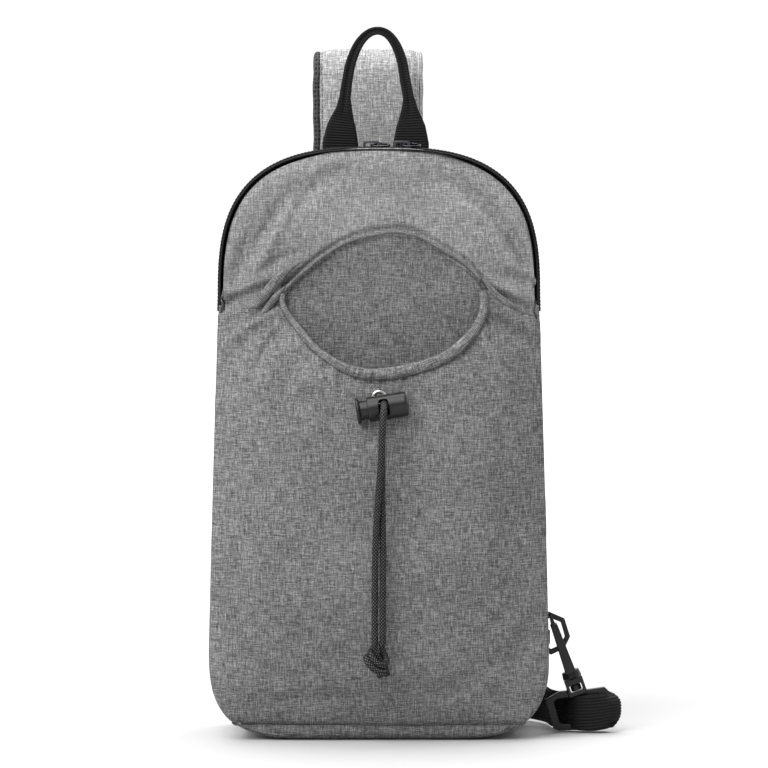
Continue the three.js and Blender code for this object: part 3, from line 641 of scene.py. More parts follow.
def thread_material(name, level):
    n = Nodes(name)
    twist = n.wave(n.place(0.5), "DIAGONAL", 0.5)
    n.wire(n.ramp(twist, [(0, grey(level * 0.6)), (1, grey(level * 1.3))]), n.shader.inputs["Base Color"])
    n.set(Roughness=0.6, Sheen_Weight=0.2)
    n.bump(twist, 0.4, 0.1)
    return n.material


def foam_material():
    n = Nodes("foam")
    cells = n.noise(n.place(0.8), 4, 0.7)
    n.wire(n.ramp(cells, [(0.2, grey(0.45)), (0.8, grey(0.62))]), n.shader.inputs["Base Color"])
    n.bump(cells, 0.6, 0.3)
    n.set(Roughness=0.95)
    return n.material


def lining_material():
    n = Nodes("lining")
    weave = n.wave(n.place(0.7), "DIAGONAL", 0.3)
    n.wire(n.ramp(weave, [(0, grey(0.05)), (1, grey(0.09))]), n.shader.inputs["Base Color"])
    n.bump(weave, 0.4, 0.1)
    n.set(Roughness=0.8)
    return n.material


def floor_material():
    n = Nodes("studio_floor")
    tone = n.noise(n.place(900), 2)
    n.wire(n.ramp(tone, [(0, grey(0.46)), (1, grey(0.48))]), n.shader.inputs["Base Color"])
    n.set(Roughness=0.95, Specular_IOR_Level=0.0)
    return n.material


HEATHER = heather("heather_fabric", 0.137)
# painted light: a lighter copy of the heather for the upper front panel, so that it looks lit from above
HEATHER_PAINTED_LIT_TOP = heather("heather_fabric_top_painted_light", 0.192, 0.8)
# painted shade: a darker copy of the heather for the wall inside the pocket, standing in for the shade in
# there
HEATHER_INSIDE_PAINTED_SHADE = heather("heather_fabric_inside_painted_shade", 0.122)
HEATHER_LIGHT = heather("heather_fabric_strap", 0.33, 0.8)
HEATHER_SHADE = heather("heather_fabric_bottom", 0.142)
WEBBING = webbing_material("black_webbing")
TAPE = webbing_material("zip_tape_weave", 0.005, 1.0, 0.6)
AIR_MESH = mesh_material("air_mesh")
PLASTIC = plastic_material("black_plastic")
GUNMETAL = metal_material("gunmetal", (0.11, 0.11, 0.12))
NICKEL = metal_material("nickel", (0.78, 0.77, 0.75), (0.08, 0.2))
STEEL = metal_material("spring_steel", (0.5, 0.5, 0.5))
BRAID = cord_material("braided_cord")
THREAD = thread_material("grey_thread", 0.06)
FOAM = foam_material()
LINING = lining_material()


# ---------------------------------------------------------------- drawcord
def strand_route(side):
    """The drawcord strand's route, the same points as in the CAD, in mm."""
    wall = lock_wall_y()
    lock_y = wall - BARREL_RADIUS - LOCK_STANDOFF
    offset = CORD_RADIUS + 0.18
    hole_x = LOCK_X - 2 * math.cos(LOCK_TILT)
    hole_z = LOCK_Z - 2 * math.sin(LOCK_TILT)
    front = lock_y - BARREL_RADIUS
    return [
        (hole_x - 1, wall - 2.6, hole_z + 0.8 + side * offset),
        (hole_x - 0.5, wall - 4.6, hole_z + 0.4 + side * offset),
        (hole_x, lock_y + 3, hole_z + side * offset),
        (hole_x, lock_y - 3, hole_z + side * offset),
        (hole_x, front - 0.6 - side * 0.7, hole_z - 0.6 + side * offset),
        (hole_x - 0.3, front - 4.2 - side * 1.7, hole_z - 4.4 + side * 1.7),
        (hole_x - 0.7, front - 5.8 - side * offset, hole_z - 10 + side * 0.5),
        (hole_x - 1.1, front - 5.7 - side * offset, hole_z - 18),
        (hole_x - 1.5 - side * 0.4, front - 4.8 - side * 2.1, 164),
        (hole_x - 2 - side * 0.9, front - 3.9 - side * 1.95, 150),
        (hole_x - 2.5 - side * 1.6, front - 3.1 - side * 1.45, 134),
        (hole_x - 2.8 - side * 2.1, front - 2.6 - side * 0.7, 116),
        (hole_x - 3 - side * 2.3, front - 2.4 - side * 0.3, 98),
        (hole_x - 3.1 - side * 2.3, front - 2.5, 80),
        (hole_x - 3.1 - side * 2.3, front - 2.7, 68),
        (hole_x - 3.1 - side * 2.2, front - 2.8, 59.4),
    ]


def lock_wall_y():
    """Depth of the pocket's wall at the eyelet, read from the cord lock's place in the frame."""
    low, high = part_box("cord_lock_barrel")
    return ((low.y + high.y) / 2) / MM + BARREL_RADIUS + LOCK_STANDOFF


def braid_tube(name, route, radius, steps, around=28, taper=0.0):
    """A braided cord: bundles of filaments cross in a diamond pattern round the tube."""
    path = catmull(route, steps)
    _, side, normal = frames(path, (1, 0.05, 0.1))
    length = distance_along(path)
    angle = circle(around)
    turns = length / (radius * 5.2)
    u = (angle[None, :] / (2 * np.pi) + turns[:, None]) * 4
    v = (-angle[None, :] / (2 * np.pi) + turns[:, None]) * 4
    weave = np.sqrt(np.abs(np.sin(np.pi * u) * np.sin(np.pi * v)))
    depth = radius * (0.84 + 0.2 * weave)
    if taper:
        ends = np.minimum(length, length[-1] - length)
        depth = depth * np.clip(0.35 + ends[:, None] / taper, 0, 1)
    rings = swept(path, side, normal, depth, depth, angle)
    uv = grid_of(angle[None, :] * radius, length[:, None])
    return tube(name, rings, uv, BRAID), path


def add_drawcord():
    knot_parts = add_knot()
    for name, side in (("drawcord_left", 1), ("drawcord_right", -1)):
        obj, path = braid_tube(name + "_braid", strand_route(side), CORD_RADIUS, 420)
        stand_in(name)


def add_knot():
    """The doubled cord tied in one tight overhand knot, with both tails out at the lower right."""
    low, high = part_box("drawcord_knot")
    middle = np.array((low + high) / 2) / MM
    turns = [
        # x, y, z of the doubled cord's middle, from the hanging strands round to the tails
        (0.4, -0.6, 11.5), (0.6, 0.6, 7.5), (2.6, 2.6, 3.0), (4.6, 1.2, -0.8), (3.4, -3.4, -3.2),
        (-0.8, -4.4, -1.6), (-4.4, -3.4, 2.2), (-5.2, 0.2, 5.0), (-2.4, 3.6, 3.8), (0.8, 3.2, -0.6),
        (2.6, 1.0, -4.8), (3.8, -1.0, -8.0),
    ]
    spread = [(2.2, 0, 0), (2.0, 0.4, 0.6), (1.2, 0.6, 1.7), (0.4, 0.6, 2.0), (-0.2, 0.4, 2.1),
              (0.2, 0.4, 2.1), (0.9, 0.4, 1.9), (1.2, 0.9, 1.5), (0.6, 0.6, 2.0), (1.4, 0.6, 1.4),
              (1.9, 0.4, 0.6), (2.0, 0.3, 0.4)]
    parts = []
    for index, side in enumerate((1, -1)):
        route = [middle + np.array(t) - side * np.array(d) for t, d in zip(turns, spread)]
        obj, _ = braid_tube(f"drawcord_knot_{index + 1}", route, CORD_RADIUS * 0.97, 260, taper=0.8)
        parts.append(obj)
    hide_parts("drawcord_knot")
    return parts


# ---------------------------------------------------------------- fabric panels
# soft folds: x, z, direction in degrees, half length, half width, depth (negative stands proud)
CREASES_PANEL = [
    (-66, 297, 60, 34, 4.0, 3.0), (-58, 300, 62, 30, 4.5, -2.2), (-79, 284, 72, 26, 4.0, 2.2),
    (-48, 312, 40, 26, 5.0, 1.8), (-36, 326, 24, 30, 5.0, 1.4), (-72, 262, 18, 22, 3.0, 2.4),
    (-84, 262, 8, 18, 4.0, -1.6), (-60, 279, 30, 18, 3.0, 1.8),
    (66, 306, -50, 36, 4.0, 3.2), (57, 309, -46, 30, 5.0, -2.2), (80, 290, -66, 26, 3.6, 2.4),
    (38, 325, -22, 34, 5.5, 1.8), (84, 268, -20, 20, 3.4, 2.2), (60, 286, -42, 24, 3.6, 1.6),
    (74, 262, -24, 16, 3.0, -1.6), (0, 318, 4, 40, 9.0, 1.0), (16, 332, -8, 30, 4.5, -1.0),
]
CREASES_POCKET = [
    (-68, 250, 30, 20, 2.6, 3.0), (-74, 243, 36, 24, 3.6, -2.4), (-62, 232, 56, 26, 3.4, 2.6),
    (-80, 228, 48, 30, 5.0, 1.8), (-50, 214, 62, 30, 5.0, 1.4),
    (72, 243, -32, 24, 2.8, 3.0), (66, 231, -58, 26, 3.6, -2.0), (84, 234, -28, 22, 3.8, 1.8),
    (58, 214, -60, 30, 5.0, 1.6), (80, 212, -66, 34, 6.0, 1.2),
    (-86, 62, -62, 38, 7.0, 1.6), (87, 56, 66, 34, 7.0, 1.6), (-34, 24, 4, 50, 5.0, 1.2),
    (38, 28, -5, 46, 5.5, 1.2), (-74, 120, 84, 66, 10.0, 1.4), (76, 132, -86, 66, 10.0, 1.4),
    (-58, 36, -30, 34, 6.0, 1.2), (60, 40, 28, 34, 6.0, 1.2), (20, 168, -80, 50, 12.0, 0.9),
]


def crease_depth(x, z, creases):
    """How far the fabric is pushed in by its soft folds."""
    depth = np.zeros_like(x)
    for cx, cz, degrees, half, width, amount in creases:
        c, s = math.cos(math.radians(degrees)), math.sin(math.radians(degrees))
        along = (x - cx) * c + (z - cz) * s
        across = -(x - cx) * s + (z - cz) * c
        bend = across - 2.0 * np.cos(along / half * 1.8)
        depth += amount * np.exp(-(bend / width)**2) * np.exp(-(along / half)**2 * 1.6)
    return depth


def coons(left, right, low, high):
    """A patch between four edges, each an array of points; edges share their corner points."""
    v = np.linspace(0, 1, len(left))[:, None, None]
    u = np.linspace(0, 1, len(low))[None, :, None]
    across = left[:, None] * (1 - u) + right[:, None] * u
    up = low[None] * (1 - v) + high[None] * v
    corner = ((1 - u) * (1 - v) * low[0] + u * (1 - v) * low[-1] + (1 - u) * v * high[0] + u * v * high[-1])
    return across + up - corner


def side_line(side, low, high, count, fine=1200):
    """Points of the bag's side from one height to another."""
    line = outline(0.0, fine)
    half = line[(line[:, 0] * side >= 0) & (line[:, 1] >= low) & (line[:, 1] <= high)]
    half = half[np.argsort(half[:, 1])]
    return resample(half, count)


ARCH = catmull([(-58, 263), (-47, 273.5), (-34, 284), (-17, 294), (7, 299), (22, 297), (37, 289), (54, 278),
                (64.5, 264)], 120)
MOUTH_STITCHES = [(-58, 262), (-57, 253), (-47.5, 239.6), (-34, 225.5), (-14, 214.6), (7, 213.2), (36, 221),
                  (52, 232.6), (60.5, 243.5), (63.6, 253.5), (63, 264)]
POCKET_TOP_LEFT = [(-94.6, 250), (-82, 253.5), (-71, 256.5), (-65.5, 262), (-62, 262.5)]
POCKET_TOP_RIGHT = [(69, 262), (74, 257.5), (86, 250.5), (94.8, 246)]
HEM_WIDTH = [(0, 2.8), (0.25, 3.8), (0.5, 6.4), (0.75, 5.6), (1, 4.0)]


def rim_lines(count):
    """The stitch line of the mouth's hem and, above it, the rim (x, z)."""
    stitch = catmull(MOUTH_STITCHES, count)
    tangent = unit(np.gradient(stitch, axis=0))
    down = np.stack([tangent[:, 1], -tangent[:, 0]], axis=1)
    place = np.linspace(0, 1, count)
    width = np.interp(place, [p for p, _ in HEM_WIDTH], [w for _, w in HEM_WIDTH])
    return stitch - down * width[:, None], stitch, down, width


def add_pocket_front():
    """The gathered front wall, from the bottom seam up to the hem's stitch line."""
    columns, rows = 230, 200
    seam = 9
    _, stitch, _, _ = rim_lines(161)
    left_top = catmull(POCKET_TOP_LEFT + [tuple(stitch[0])], 34)
    right_top = catmull([tuple(stitch[-1])] + POCKET_TOP_RIGHT, 38)
    top = resample(np.vstack([left_top[:-1], stitch, right_top[1:]]), columns)
    left = side_line(-1, seam, 250, rows)
    right = side_line(1, seam, 246, rows)
    left[-1] = top[0]
    right[-1] = top[-1]
    low = np.stack([np.linspace(left[0][0], right[0][0], columns),
                    seam - 1.2 * np.cos(np.linspace(-1.2, 1.2, columns)) + 0.4], axis=1)
    low[0] = left[0]
    low[-1] = right[0]
    flat = coons(left, right, low, top)
    x, z = flat[..., 0], flat[..., 1]
    y = pocket_y(x, z)
    place = grid_of(x, z)
    y += 1.3 * crease_depth(x, z, CREASES_POCKET)
    y += 1.5 * lumps(place, 52, 3.1) + 0.45 * lumps(place, 16, 7.7)
    v = np.linspace(0, 1, rows)[:, None]
    u = np.linspace(0, 1, columns)[None, :]
    gathers = np.exp(-((1 - v) / 0.055)**1.3) * np.exp(-((u - 0.5) / 0.2)**4)
    y += gathers * (0.55 * np.sin(u * 210 + 2.4 * np.sin(u * 23)) + 0.35 * np.sin(u * 127))
    behind_lock = np.exp(-((x - LOCK_X) / 20)**4 - ((z - LOCK_Z) / 16)**4)
    y = lerp(y, pocket_y(x, z), behind_lock)
    y += 0.9 * np.exp(-((x - 1) / 0.8)**2) * smooth(z, 206, 209)
    seam_roll = np.exp(-(v / 0.012)**2)
    y += 3.4 * seam_roll
    edge = np.minimum(u, 1 - u)
    y += 2.2 * np.exp(-(edge / 0.008)**2)
    points = grid_of(x, y, z)
    obj = fabric("pocket_front_cloth", points, place, HEATHER, outward=(0, -1, 0))
    stand_in("pocket_front_wall")


def add_front_panel():
    """The upper front, full over the zip at the top, with soft folds at its shoulders."""
    columns, rows = 200, 200
    inset = 2.8
    low = 150
    u = np.linspace(0, 1, columns)
    s = np.sin((u - 0.5) * math.pi)
    top = dome_line(s, inset) + 3.0 * np.exp(-((s - 0.05) / 0.4)**4)
    v = np.linspace(0, 1, rows)[:, None]
    v = v + 0.03 * np.sin(2 * np.pi * v)
    z = lerp(low, top[None, :], v)
    x = s[None, :] * (side_half_width(z) - inset)
    y = panel_y(x, z)
    place = grid_of(x, z)
    fade = smooth(z, 235, 262)
    y += 1.5 * fade * crease_depth(x, z, CREASES_PANEL)
    y += fade * (1.6 * lumps(place, 44, 1.3) + 0.5 * lumps(place, 15, 5.2))
    y += 3.0 * np.exp(-((1 - v) / 0.02)**2)
    arch = np.interp(x, ARCH[:, 0], ARCH[:, 1])
    inside = (x > ARCH[0, 0]) & (x < ARCH[-1, 0])
    y += 1.6 * inside * np.exp(-((z - arch - 1.2) / 1.7)**2)
    y += 7.5 * inside * smooth(arch - z, 3, 12)
    fold = np.where(x < 0, 250 + 0.25 * (x + 94), 246 + 0.42 * (98 - x))
    y += 2.6 * (np.abs(x) > 58) * np.exp(-((z - fold - 3) / 4.5)**2)
    points = grid_of(x, y, z)
    # the lighter heather copy on this panel is painted light from above
    obj = fabric("front_panel_cloth", points, place, HEATHER_PAINTED_LIT_TOP, outward=(0, -1, 0))
    stand_in("front_panel")


def add_pocket_back():
    """The wall seen through the mouth: a turned edge along its arched top, and a dished face."""
    columns, rows = 150, 130
    u = np.linspace(0, 1, columns)
    edge_x = lerp(ARCH[0, 0] - 1.5, ARCH[-1, 0] + 0.5, u)
    top = np.interp(edge_x, ARCH[:, 0], ARCH[:, 1])
    v = np.linspace(0, 1, rows)[:, None]
    z = lerp(160, top[None, :], v)
    x = edge_x[None, :] + 0 * z
    s = 2 * u[None, :] - 1
    y = panel_y(x, z) - 2.4
    below = top[None, :] - z
    y += 1.3 * np.exp(-((below - 4.2) / 0.9)**2) - 0.5 * np.exp(-((below - 2) / 1.6)**2)
    dish = smooth(z, 165, 225) * (1 - smooth(z, 268, 296))
    y += 3.4 * dish * (1 - np.abs(s)**3) + 2.4 * smooth(np.abs(s), 0.8, 1.0)
    place = grid_of(x, z)
    y += 0.7 * lumps(place, 34, 9.4) + 0.3 * lumps(place, 12, 2.2)
    points = grid_of(x, y, z)
    # the darker heather copy on this wall is painted shade inside the pocket
    obj = fabric("pocket_back_cloth", points, place, HEATHER_INSIDE_PAINTED_SHADE, outward=(0, -1, 0))
    stand_in("pocket_back_wall")
    add_arch_edge()
    add_corner_folds()


def soft_roll(name, route, tall, deep, bumps=0.25):
    """A soft rolled fold along a route; `tall` and `deep` are its half sizes along the route."""
    count, around = 160, 18
    path = catmull(route, count)
    place = np.linspace(0, 1, count)
    stops = np.linspace(0, 1, len(tall))
    half_tall = np.interp(place, stops, tall)
    half_deep = np.interp(place, stops, deep)
    tangent = np.gradient(path, axis=0)
    tangent[:, 1] = 0
    tangent = unit(tangent)
    up = np.stack([-tangent[:, 2], tangent[:, 1], tangent[:, 0]], axis=1)
    angle = circle(around)
    ripple = 1 + bumps * lumps(path[:, ::2], 9, 2.7)
    rings = swept(path, up, (0, 1, 0), half_tall[:, None], (half_deep * ripple)[:, None], angle)
    length = distance_along(path)
    uv = grid_of(length[:, None], angle[None, :] * 2.2)
    tube(name, rings, uv, HEATHER)


def add_arch_edge():
    """The turned edge along the arch, which meets the hem at the mouth's corners."""
    route = [(x, float(panel_y(x, z)) - 3.2, z - 1.1) for x, z in ARCH[::8]]
    soft_roll("mouth_arch_edge", route, (1.2, 0.9, 0.8, 0.9, 1.2), (1.1, 0.9, 0.9, 0.9, 1.1), bumps=0.1)


def add_corner_folds():
    """Fabric bunched by the drawcord at the mouth's corners."""
    def on_panel(points, proud):
        return [(x, float(panel_y(x, z)) - proud, z) for x, z in points]
    left = on_panel([(-80, 252.5), (-71, 256), (-66, 262), (-61, 268.5), (-54, 275.5), (-45, 281)], 3.2)
    soft_roll("corner_fold_left", left, (0.3, 2.2, 3.2, 3.0, 1.8, 0.3), (0.3, 2.4, 3.2, 2.8, 1.6, 0.3))
    low_left = on_panel([(-72, 247), (-66, 253), (-60.5, 260), (-55, 266.5)], 4.2)
    soft_roll("corner_fold_low", low_left, (0.3, 2.0, 2.2, 0.4), (0.4, 2.4, 2.4, 0.4))
    right = on_panel([(92, 248.5), (84, 252), (76, 256), (69, 261), (63.5, 268), (58, 274)], 2.6)
    soft_roll("corner_fold_right", right, (0.3, 1.6, 2.0, 2.2, 1.6, 0.3), (0.3, 1.8, 2.2, 2.4, 1.6, 0.3))


def add_mouth_hem():
    """The rolled hem: a soft tunnel with small gathers, and the drawcord that runs inside it."""
    count, around = 420, 30
    rim, stitch, down, width = rim_lines(count)
    middle = (rim + stitch) / 2
    place = np.linspace(0, 1, count)
    gather = np.exp(-((place - 0.52) / 0.24)**4)
    wobble = gather * (0.6 * np.sin(place * 210 + 3 * np.sin(place * 31)) + 0.5 * np.sin(place * 119))
    angle = circle(around)
    depth = lerp(1.7, 3.0, np.interp(place, [0, 0.25, 0.5, 0.8, 1], [0.2, 0.6, 1, 0.8, 0.35]))
    y = pocket_y(stitch[:, 0], stitch[:, 1]) - 0.3
    core = np.stack([middle[:, 0], y, middle[:, 1]], axis=1)
    up = np.stack([-down[:, 0], np.zeros(count), -down[:, 1]], axis=1)
    tall = width / 2 + 0.35
    lean = depth[:, None] + wobble[:, None] * np.where(np.sin(angle) < 0, 1, 0.2)
    rings = swept(core, up, (0, 1, 0), tall[:, None], lean, angle)
    length = distance_along(middle)
    uv = grid_of(length[:, None], angle[None, :] * 2.4)
    obj = tube("mouth_hem_cloth", rings, uv, HEATHER)
    stand_in("mouth_hem")
    cord, _ = braid_tube("hem_drawcord_braid", core[40:-40:20], 1.15, 160, around=12)
    stand_in("hem_drawcord")
    line = np.stack([stitch[:, 0], pocket_y(stitch[:, 0], stitch[:, 1]) - 1.3, stitch[:, 1]], axis=1)
    line[:, :1] += down[:, :1] * 0.6
    line[:, 2:] += down[:, 1:] * 0.6
    stitches("mouth_stitches", line[4:-4], (0, -1, 0), 2.7, 2.0, 0.2)


def outward_of(line):
    """Direction away from the bag's middle, square to an outline, at each of its points."""
    tangent = unit(np.gradient(line, axis=0))
    outward = np.stack([tangent[:, 1], -tangent[:, 0]], axis=1)
    outward[np.sum(outward * (line - np.array([0, 150])), axis=1) < 0] *= -1
    return outward


def band_points(line, front, back, columns, inset=0.0, sag=0.0):
    """A band that follows the outline from its front edge to its back edge, sagging inwards."""
    t = np.linspace(0, 1, columns)
    y = front[:, None] * (1 - t) + back[:, None] * t
    depth = inset + sag * np.sin(np.pi * t)**0.8
    xz = line[:, None] - outward_of(line)[:, None] * depth[None, :, None]
    return grid_of(xz[..., 0], y, xz[..., 1])


def add_gussets():
    back = BACK_Y - 1.6
    for name, side in (("side_gusset_left", -1), ("side_gusset_right", 1)):
        line = side_line(side, 6, ZIP_END + 4, 200, fine=2400)
        front_y = front_edge(line[:, 1]) + 0.6
        points = band_points(line, front_y, np.full(len(line), back), 70, 0.4, 4.6)
        place = points[..., 1:]
        points[..., 0] -= side * (0.9 * lumps(place, 45, 4.4 + side) + 0.3 * lumps(place, 14, 2.4))
        obj = fabric(name + "_cloth", points, place, HEATHER, outward=(side, 0, 0))
        stand_in(name)
        for edge, where in (("front", 2), ("back", -3)):
            stitches(f"{name}_{edge}_stitches", points[:, where], (side, 0, 0), 3.0, 2.1, 0.18)


def add_bottom():
    """The bottom panel, its front and back edges rolled up a little at their seams."""
    columns = 90
    line = outline(0.0, 2400)
    low = line[line[:, 1] <= 9.6]
    low = resample(low[np.argsort(low[:, 0])], 200)
    front = np.full(len(low), FRONT_EDGE_LOW - 2.6)
    back = np.full(len(low), BACK_Y - 1.6)
    points = band_points(low, front, back, columns)
    roll = np.linspace(0, 1, columns)
    points[..., 2] += 2.2 * np.exp(-(roll / 0.03)**2)[None] + 1.6 * np.exp(-((1 - roll) / 0.03)**2)[None]
    place = points[..., :2]
    obj = fabric("bottom_cloth", points, place, HEATHER_SHADE, outward=(0, 0, -1))
    stand_in("bottom_panel")
    add_bottom_strip()


def add_bottom_strip():
    """The front of the bottom panel, rolling up from the floor to the pocket's bottom seam."""
    columns, rows = 200, 24
    x = np.linspace(-86, 86, columns)[None, :]
    v = np.linspace(0, 1, rows)[:, None]
    floor = corner_line(x)
    top = np.maximum(9.2, floor + 0.8)
    z = floor + 0.2 + (top - floor - 0.2) * (1 - np.cos(v * math.pi / 2)) ** 0.9
    bulge = np.sin(v * math.pi / 2)**0.6
    wall = pocket_y(x, top + 2)
    y = lerp(FRONT_EDGE_LOW + 6, wall + 3.4, bulge) - 0.9 * np.sin(v * math.pi)
    place = grid_of(x, z + y * 0.5)
    points = grid_of(x, y, z)
    points[..., 1] += 0.4 * lumps(points, 30, 8.1)
    obj = fabric("bottom_front_cloth", points, place, HEATHER_SHADE, outward=(0, -1, -0.3))


ARCH_STEPS = 520
ARCH_LENGTH = 520                # the dome's seam from end to end, for the weave's scale


def add_dome_and_zip():
    """Two zip tapes with the chain between them, and the gusset behind, over the dome."""
    line = outline(0.0, 2400)
    arch = resample(line[line[:, 1] >= ZIP_END], ARCH_STEPS)
    length = np.linspace(0, ARCH_LENGTH, ARCH_STEPS)
    edge = front_edge(arch[:, 1])
    for name, start, end in (("zip_tape_front", 1.0, 12.0), ("zip_tape_rear", 18.0, 28.6)):
        points = band_points(arch, edge + start, edge + end, 14, 0.5, -0.3)
        obj = fabric(name + "_cloth", points, grid_of(length[:, None], points[..., 1]), TAPE, 0.9)
        face_out(obj.data)
        stand_in(name)
    add_zip_chain(arch, edge, length)
    back = np.full(len(arch), BACK_Y - 1.6)
    points = band_points(arch, edge + 28.2, back, 46, 1.1, 2.0)
    uv = grid_of(length[:, None], points[..., 1])
    points = points + 0.5 * lumps(points, 40, 6.6)[..., None] * np.array([1, 0, 1])
    obj = fabric("dome_gusset_cloth", points, uv, HEATHER)
    face_out(obj.data)
    stand_in("dome_gusset")


def add_zip_chain(arch, edge, length):
    """The closed chain between its tapes: two beads, rippled by the coil's turns."""
    outward = outward_of(arch)
    coil_pitch = 1.4
    angle = circle(12)
    ripple = 1 + 0.12 * np.sin(length / coil_pitch * 2 * np.pi)
    up = np.stack([outward[:, 0], np.zeros(len(arch)), outward[:, 1]], axis=1)
    for index, offset in enumerate((13.4, 16.6)):
        core = np.stack([arch[:, 0], edge + offset, arch[:, 1]], axis=1) + up * 0.2 * ripple[:, None]
        rings = swept(core, (0, 1, 0), up, 1.75, 0.9 * ripple[:, None], angle)
        uv = grid_of(length[:, None], angle[None, :] * 1.5)
        tube(f"zip_bead_{index + 1}", rings, uv, TAPE)
    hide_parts("zip_chain")


def add_back_panel():
    """Padded air-mesh back with two sewn channels."""
    columns, rows = 150, 200
    u = np.linspace(0, 1, columns)
    s = np.sin((u - 0.5) * math.pi)[None, :]
    top = dome_line(s, 1)
    low = corner_line(s * BASE_HALF_WIDTH) + 1
    v = np.linspace(0, 1, rows)[:, None]
    z = lerp(low, top, v)
    x = s * (side_half_width(z) - 1)
    pad = (1 - np.abs(s)**8) * (1 - np.abs(2 * v - 1)**14)
    channels = np.zeros_like(x)
    for height in (118, 228):
        channels += np.exp(-((z - height) / 3.0)**2)
    channels *= np.clip(1 - np.abs(x / 82)**10, 0, 1)
    y = BACK_Y - 1.8 + 3.6 * pad - 3.2 * channels
    place = grid_of(x, z)
    y += 0.35 * lumps(place, 30, 3.3)
    points = grid_of(x, y, z)
    obj = fabric("back_panel_pad", points, place, AIR_MESH, 2.0, outward=(0, 1, 0))
    stand_in("back_panel_cover")
    dress("back_panel_foam", FOAM)
    dress("back_panel_lining", LINING)


def add_piping():
    """Bound seams where the back panel meets the gussets."""
    line = outline(0.4, 700)
    angle = circle(12)
    tangent = unit(np.roll(line, -1, axis=0) - np.roll(line, 1, axis=0))
    outward = np.stack([tangent[:, 1], -tangent[:, 0]], axis=1)
    out = np.stack([outward[:, 0], np.zeros(len(line)), outward[:, 1]], axis=1)[:-1]
    core = np.stack([line[:, 0], np.full(len(line), BACK_Y - 2.2), line[:, 1]], axis=1)[:-1] - 1.1 * out
    rings = swept(core, out, (0, 1, 0), 1.3, 1.5, angle)
    length = np.linspace(0, 1000, len(core))
    uv = grid_of(length[:, None], angle[None, :] * 1.3)
    obj = tube("back_piping", rings, uv, WEBBING, close_rows=True)


# ---------------------------------------------------------------- metal and plastic pieces
def add_eyelet():
    """A rolled nickel washer: its section is a rounded hook turned round the hole."""
    wall = float(pocket_y(EYELET_X, EYELET_Z))
    section = [(2.5, 0.9), (2.35, 0.1), (2.9, -1.15), (3.9, -1.2), (4.7, -0.35), (4.9, 0.45), (3.8, 0.7)]
    profile = catmull(section, 16, closed=True)[:-1]
    angle = circle(72)
    rings = np.empty((72, len(profile), 3))
    for i, a in enumerate(angle):
        rings[i, :, 0] = EYELET_X + profile[:, 0] * math.cos(a)
        rings[i, :, 2] = EYELET_Z + profile[:, 0] * math.sin(a)
        rings[i, :, 1] = wall + 0.5 + profile[:, 1]
    uv = grid_of(angle[:, None] * 3, profile[None, :, 0])
    obj = tube("eyelet_washer", rings, uv, NICKEL, close_rows=True)
    stand_in("eyelet")


def dress(node, material):
    """Gives a CAD piece that keeps its shape its finished material."""
    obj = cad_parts[node]
    obj.data.materials.clear()
    obj.data.materials.append(material)


def turned(profile, around=96):
    """A mesh turned about the X axis from a profile of (x, radius) points, both ends on the axis."""
    curve = resample(np.array(profile, float), 90)
    angle = circle(around)
    verts = [(x, r * math.cos(a), r * math.sin(a)) for x, r in curve[1:-1] for a in angle]
    verts += [(curve[0][0], 0, 0), (curve[-1][0], 0, 0)]
    rows = len(curve) - 2
    faces = grid_faces(rows, around, close_columns=True)
    last = (rows - 1) * around
    for i in range(around):
        j = (i + 1) % around
        faces.append((len(verts) - 2, j, i))
        faces.append((len(verts) - 1, last + i, last + j))
    mesh = mesh_from("turned", verts, faces)
    face_out(mesh)
    return bpy.data.objects.new("turned", mesh)


def cord_slot(width, height, middle):
    """A rounded slot through Y, used to cut the cord's way through the lock."""
    angle = circle(64)
    x = middle + np.sign(np.cos(angle)) * np.abs(np.cos(angle))**0.5 * width / 2
    z = np.sign(np.sin(angle)) * np.abs(np.sin(angle))**0.5 * height / 2
    verts = [(a, y, b) for y in (-15, 15) for a, b in zip(x, z)]
    faces = grid_faces(2, 64, close_columns=True)
    faces += [tuple(range(63, -1, -1)), tuple(range(64, 128))]
    mesh = mesh_from("slot", verts, faces)
    face_out(mesh)
    return bpy.data.objects.new("slot", mesh)


def cut_and_round(solid, tools, node, body):
    """Cuts the tools out of the solid, rounds its edges and puts it in the cord lock's place."""
    scene = bpy.context.scene.collection
    for obj in [solid] + tools:
        scene.objects.link(obj)
    for tool in tools:
        modifier = solid.modifiers.new("cut", "BOOLEAN")
        modifier.operation = "DIFFERENCE"
        modifier.object = tool
    remesh = solid.modifiers.new("remesh", "REMESH")
    remesh.mode = "VOXEL"
    remesh.voxel_size = 0.17 * MM
    relax = solid.modifiers.new("relax", "SMOOTH")
    relax.iterations = 5
    made = bpy.data.meshes.new_from_object(solid.evaluated_get(bpy.context.evaluated_depsgraph_get()))
    for obj in [solid] + tools:
        bpy.data.objects.remove(obj)
    low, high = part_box("cord_lock_barrel")
    place = Matrix.Translation((LOCK_X * MM, (low.y + high.y) / 2, LOCK_Z * MM))
    made.transform(place @ Matrix.Rotation(-LOCK_TILT, 4, "Y"))
    made.polygons.foreach_set("use_smooth", [True] * len(made.polygons))
    made.materials.clear()
    obj = link(node + "_moulded", made, PLASTIC, body)
    stand_in(node)


def add_cord_lock():
    """The barrel with its bore, the button in it, and the cord's way cut through both."""
    barrel = turned([(-11.5, 0), (-11.5, 6.9), (-11.1, BARREL_RADIUS), (10.7, BARREL_RADIUS), (11.5, 6.6),
                     (11.5, 0)])
    bore = turned([(-13, 0), (-13, 5.9), (9.5, 5.9), (9.5, 0)])
    cut_and_round(barrel, [bore, cord_slot(6, 10, -2)], "cord_lock_barrel", "cord_lock")
    plunger = turned([(-18.3, 0), (-18.3, 5.6), (-18.1, 7.4), (-17.4, 7.9), (-16.7, 7.8), (-16.2, 7.2),
                      (-16.0, 5.5), (1.4, 5.5), (1.4, 0)])
    cut_and_round(plunger, [cord_slot(10.9, 9, -4.25)], "cord_lock_plunger", "lock_button")


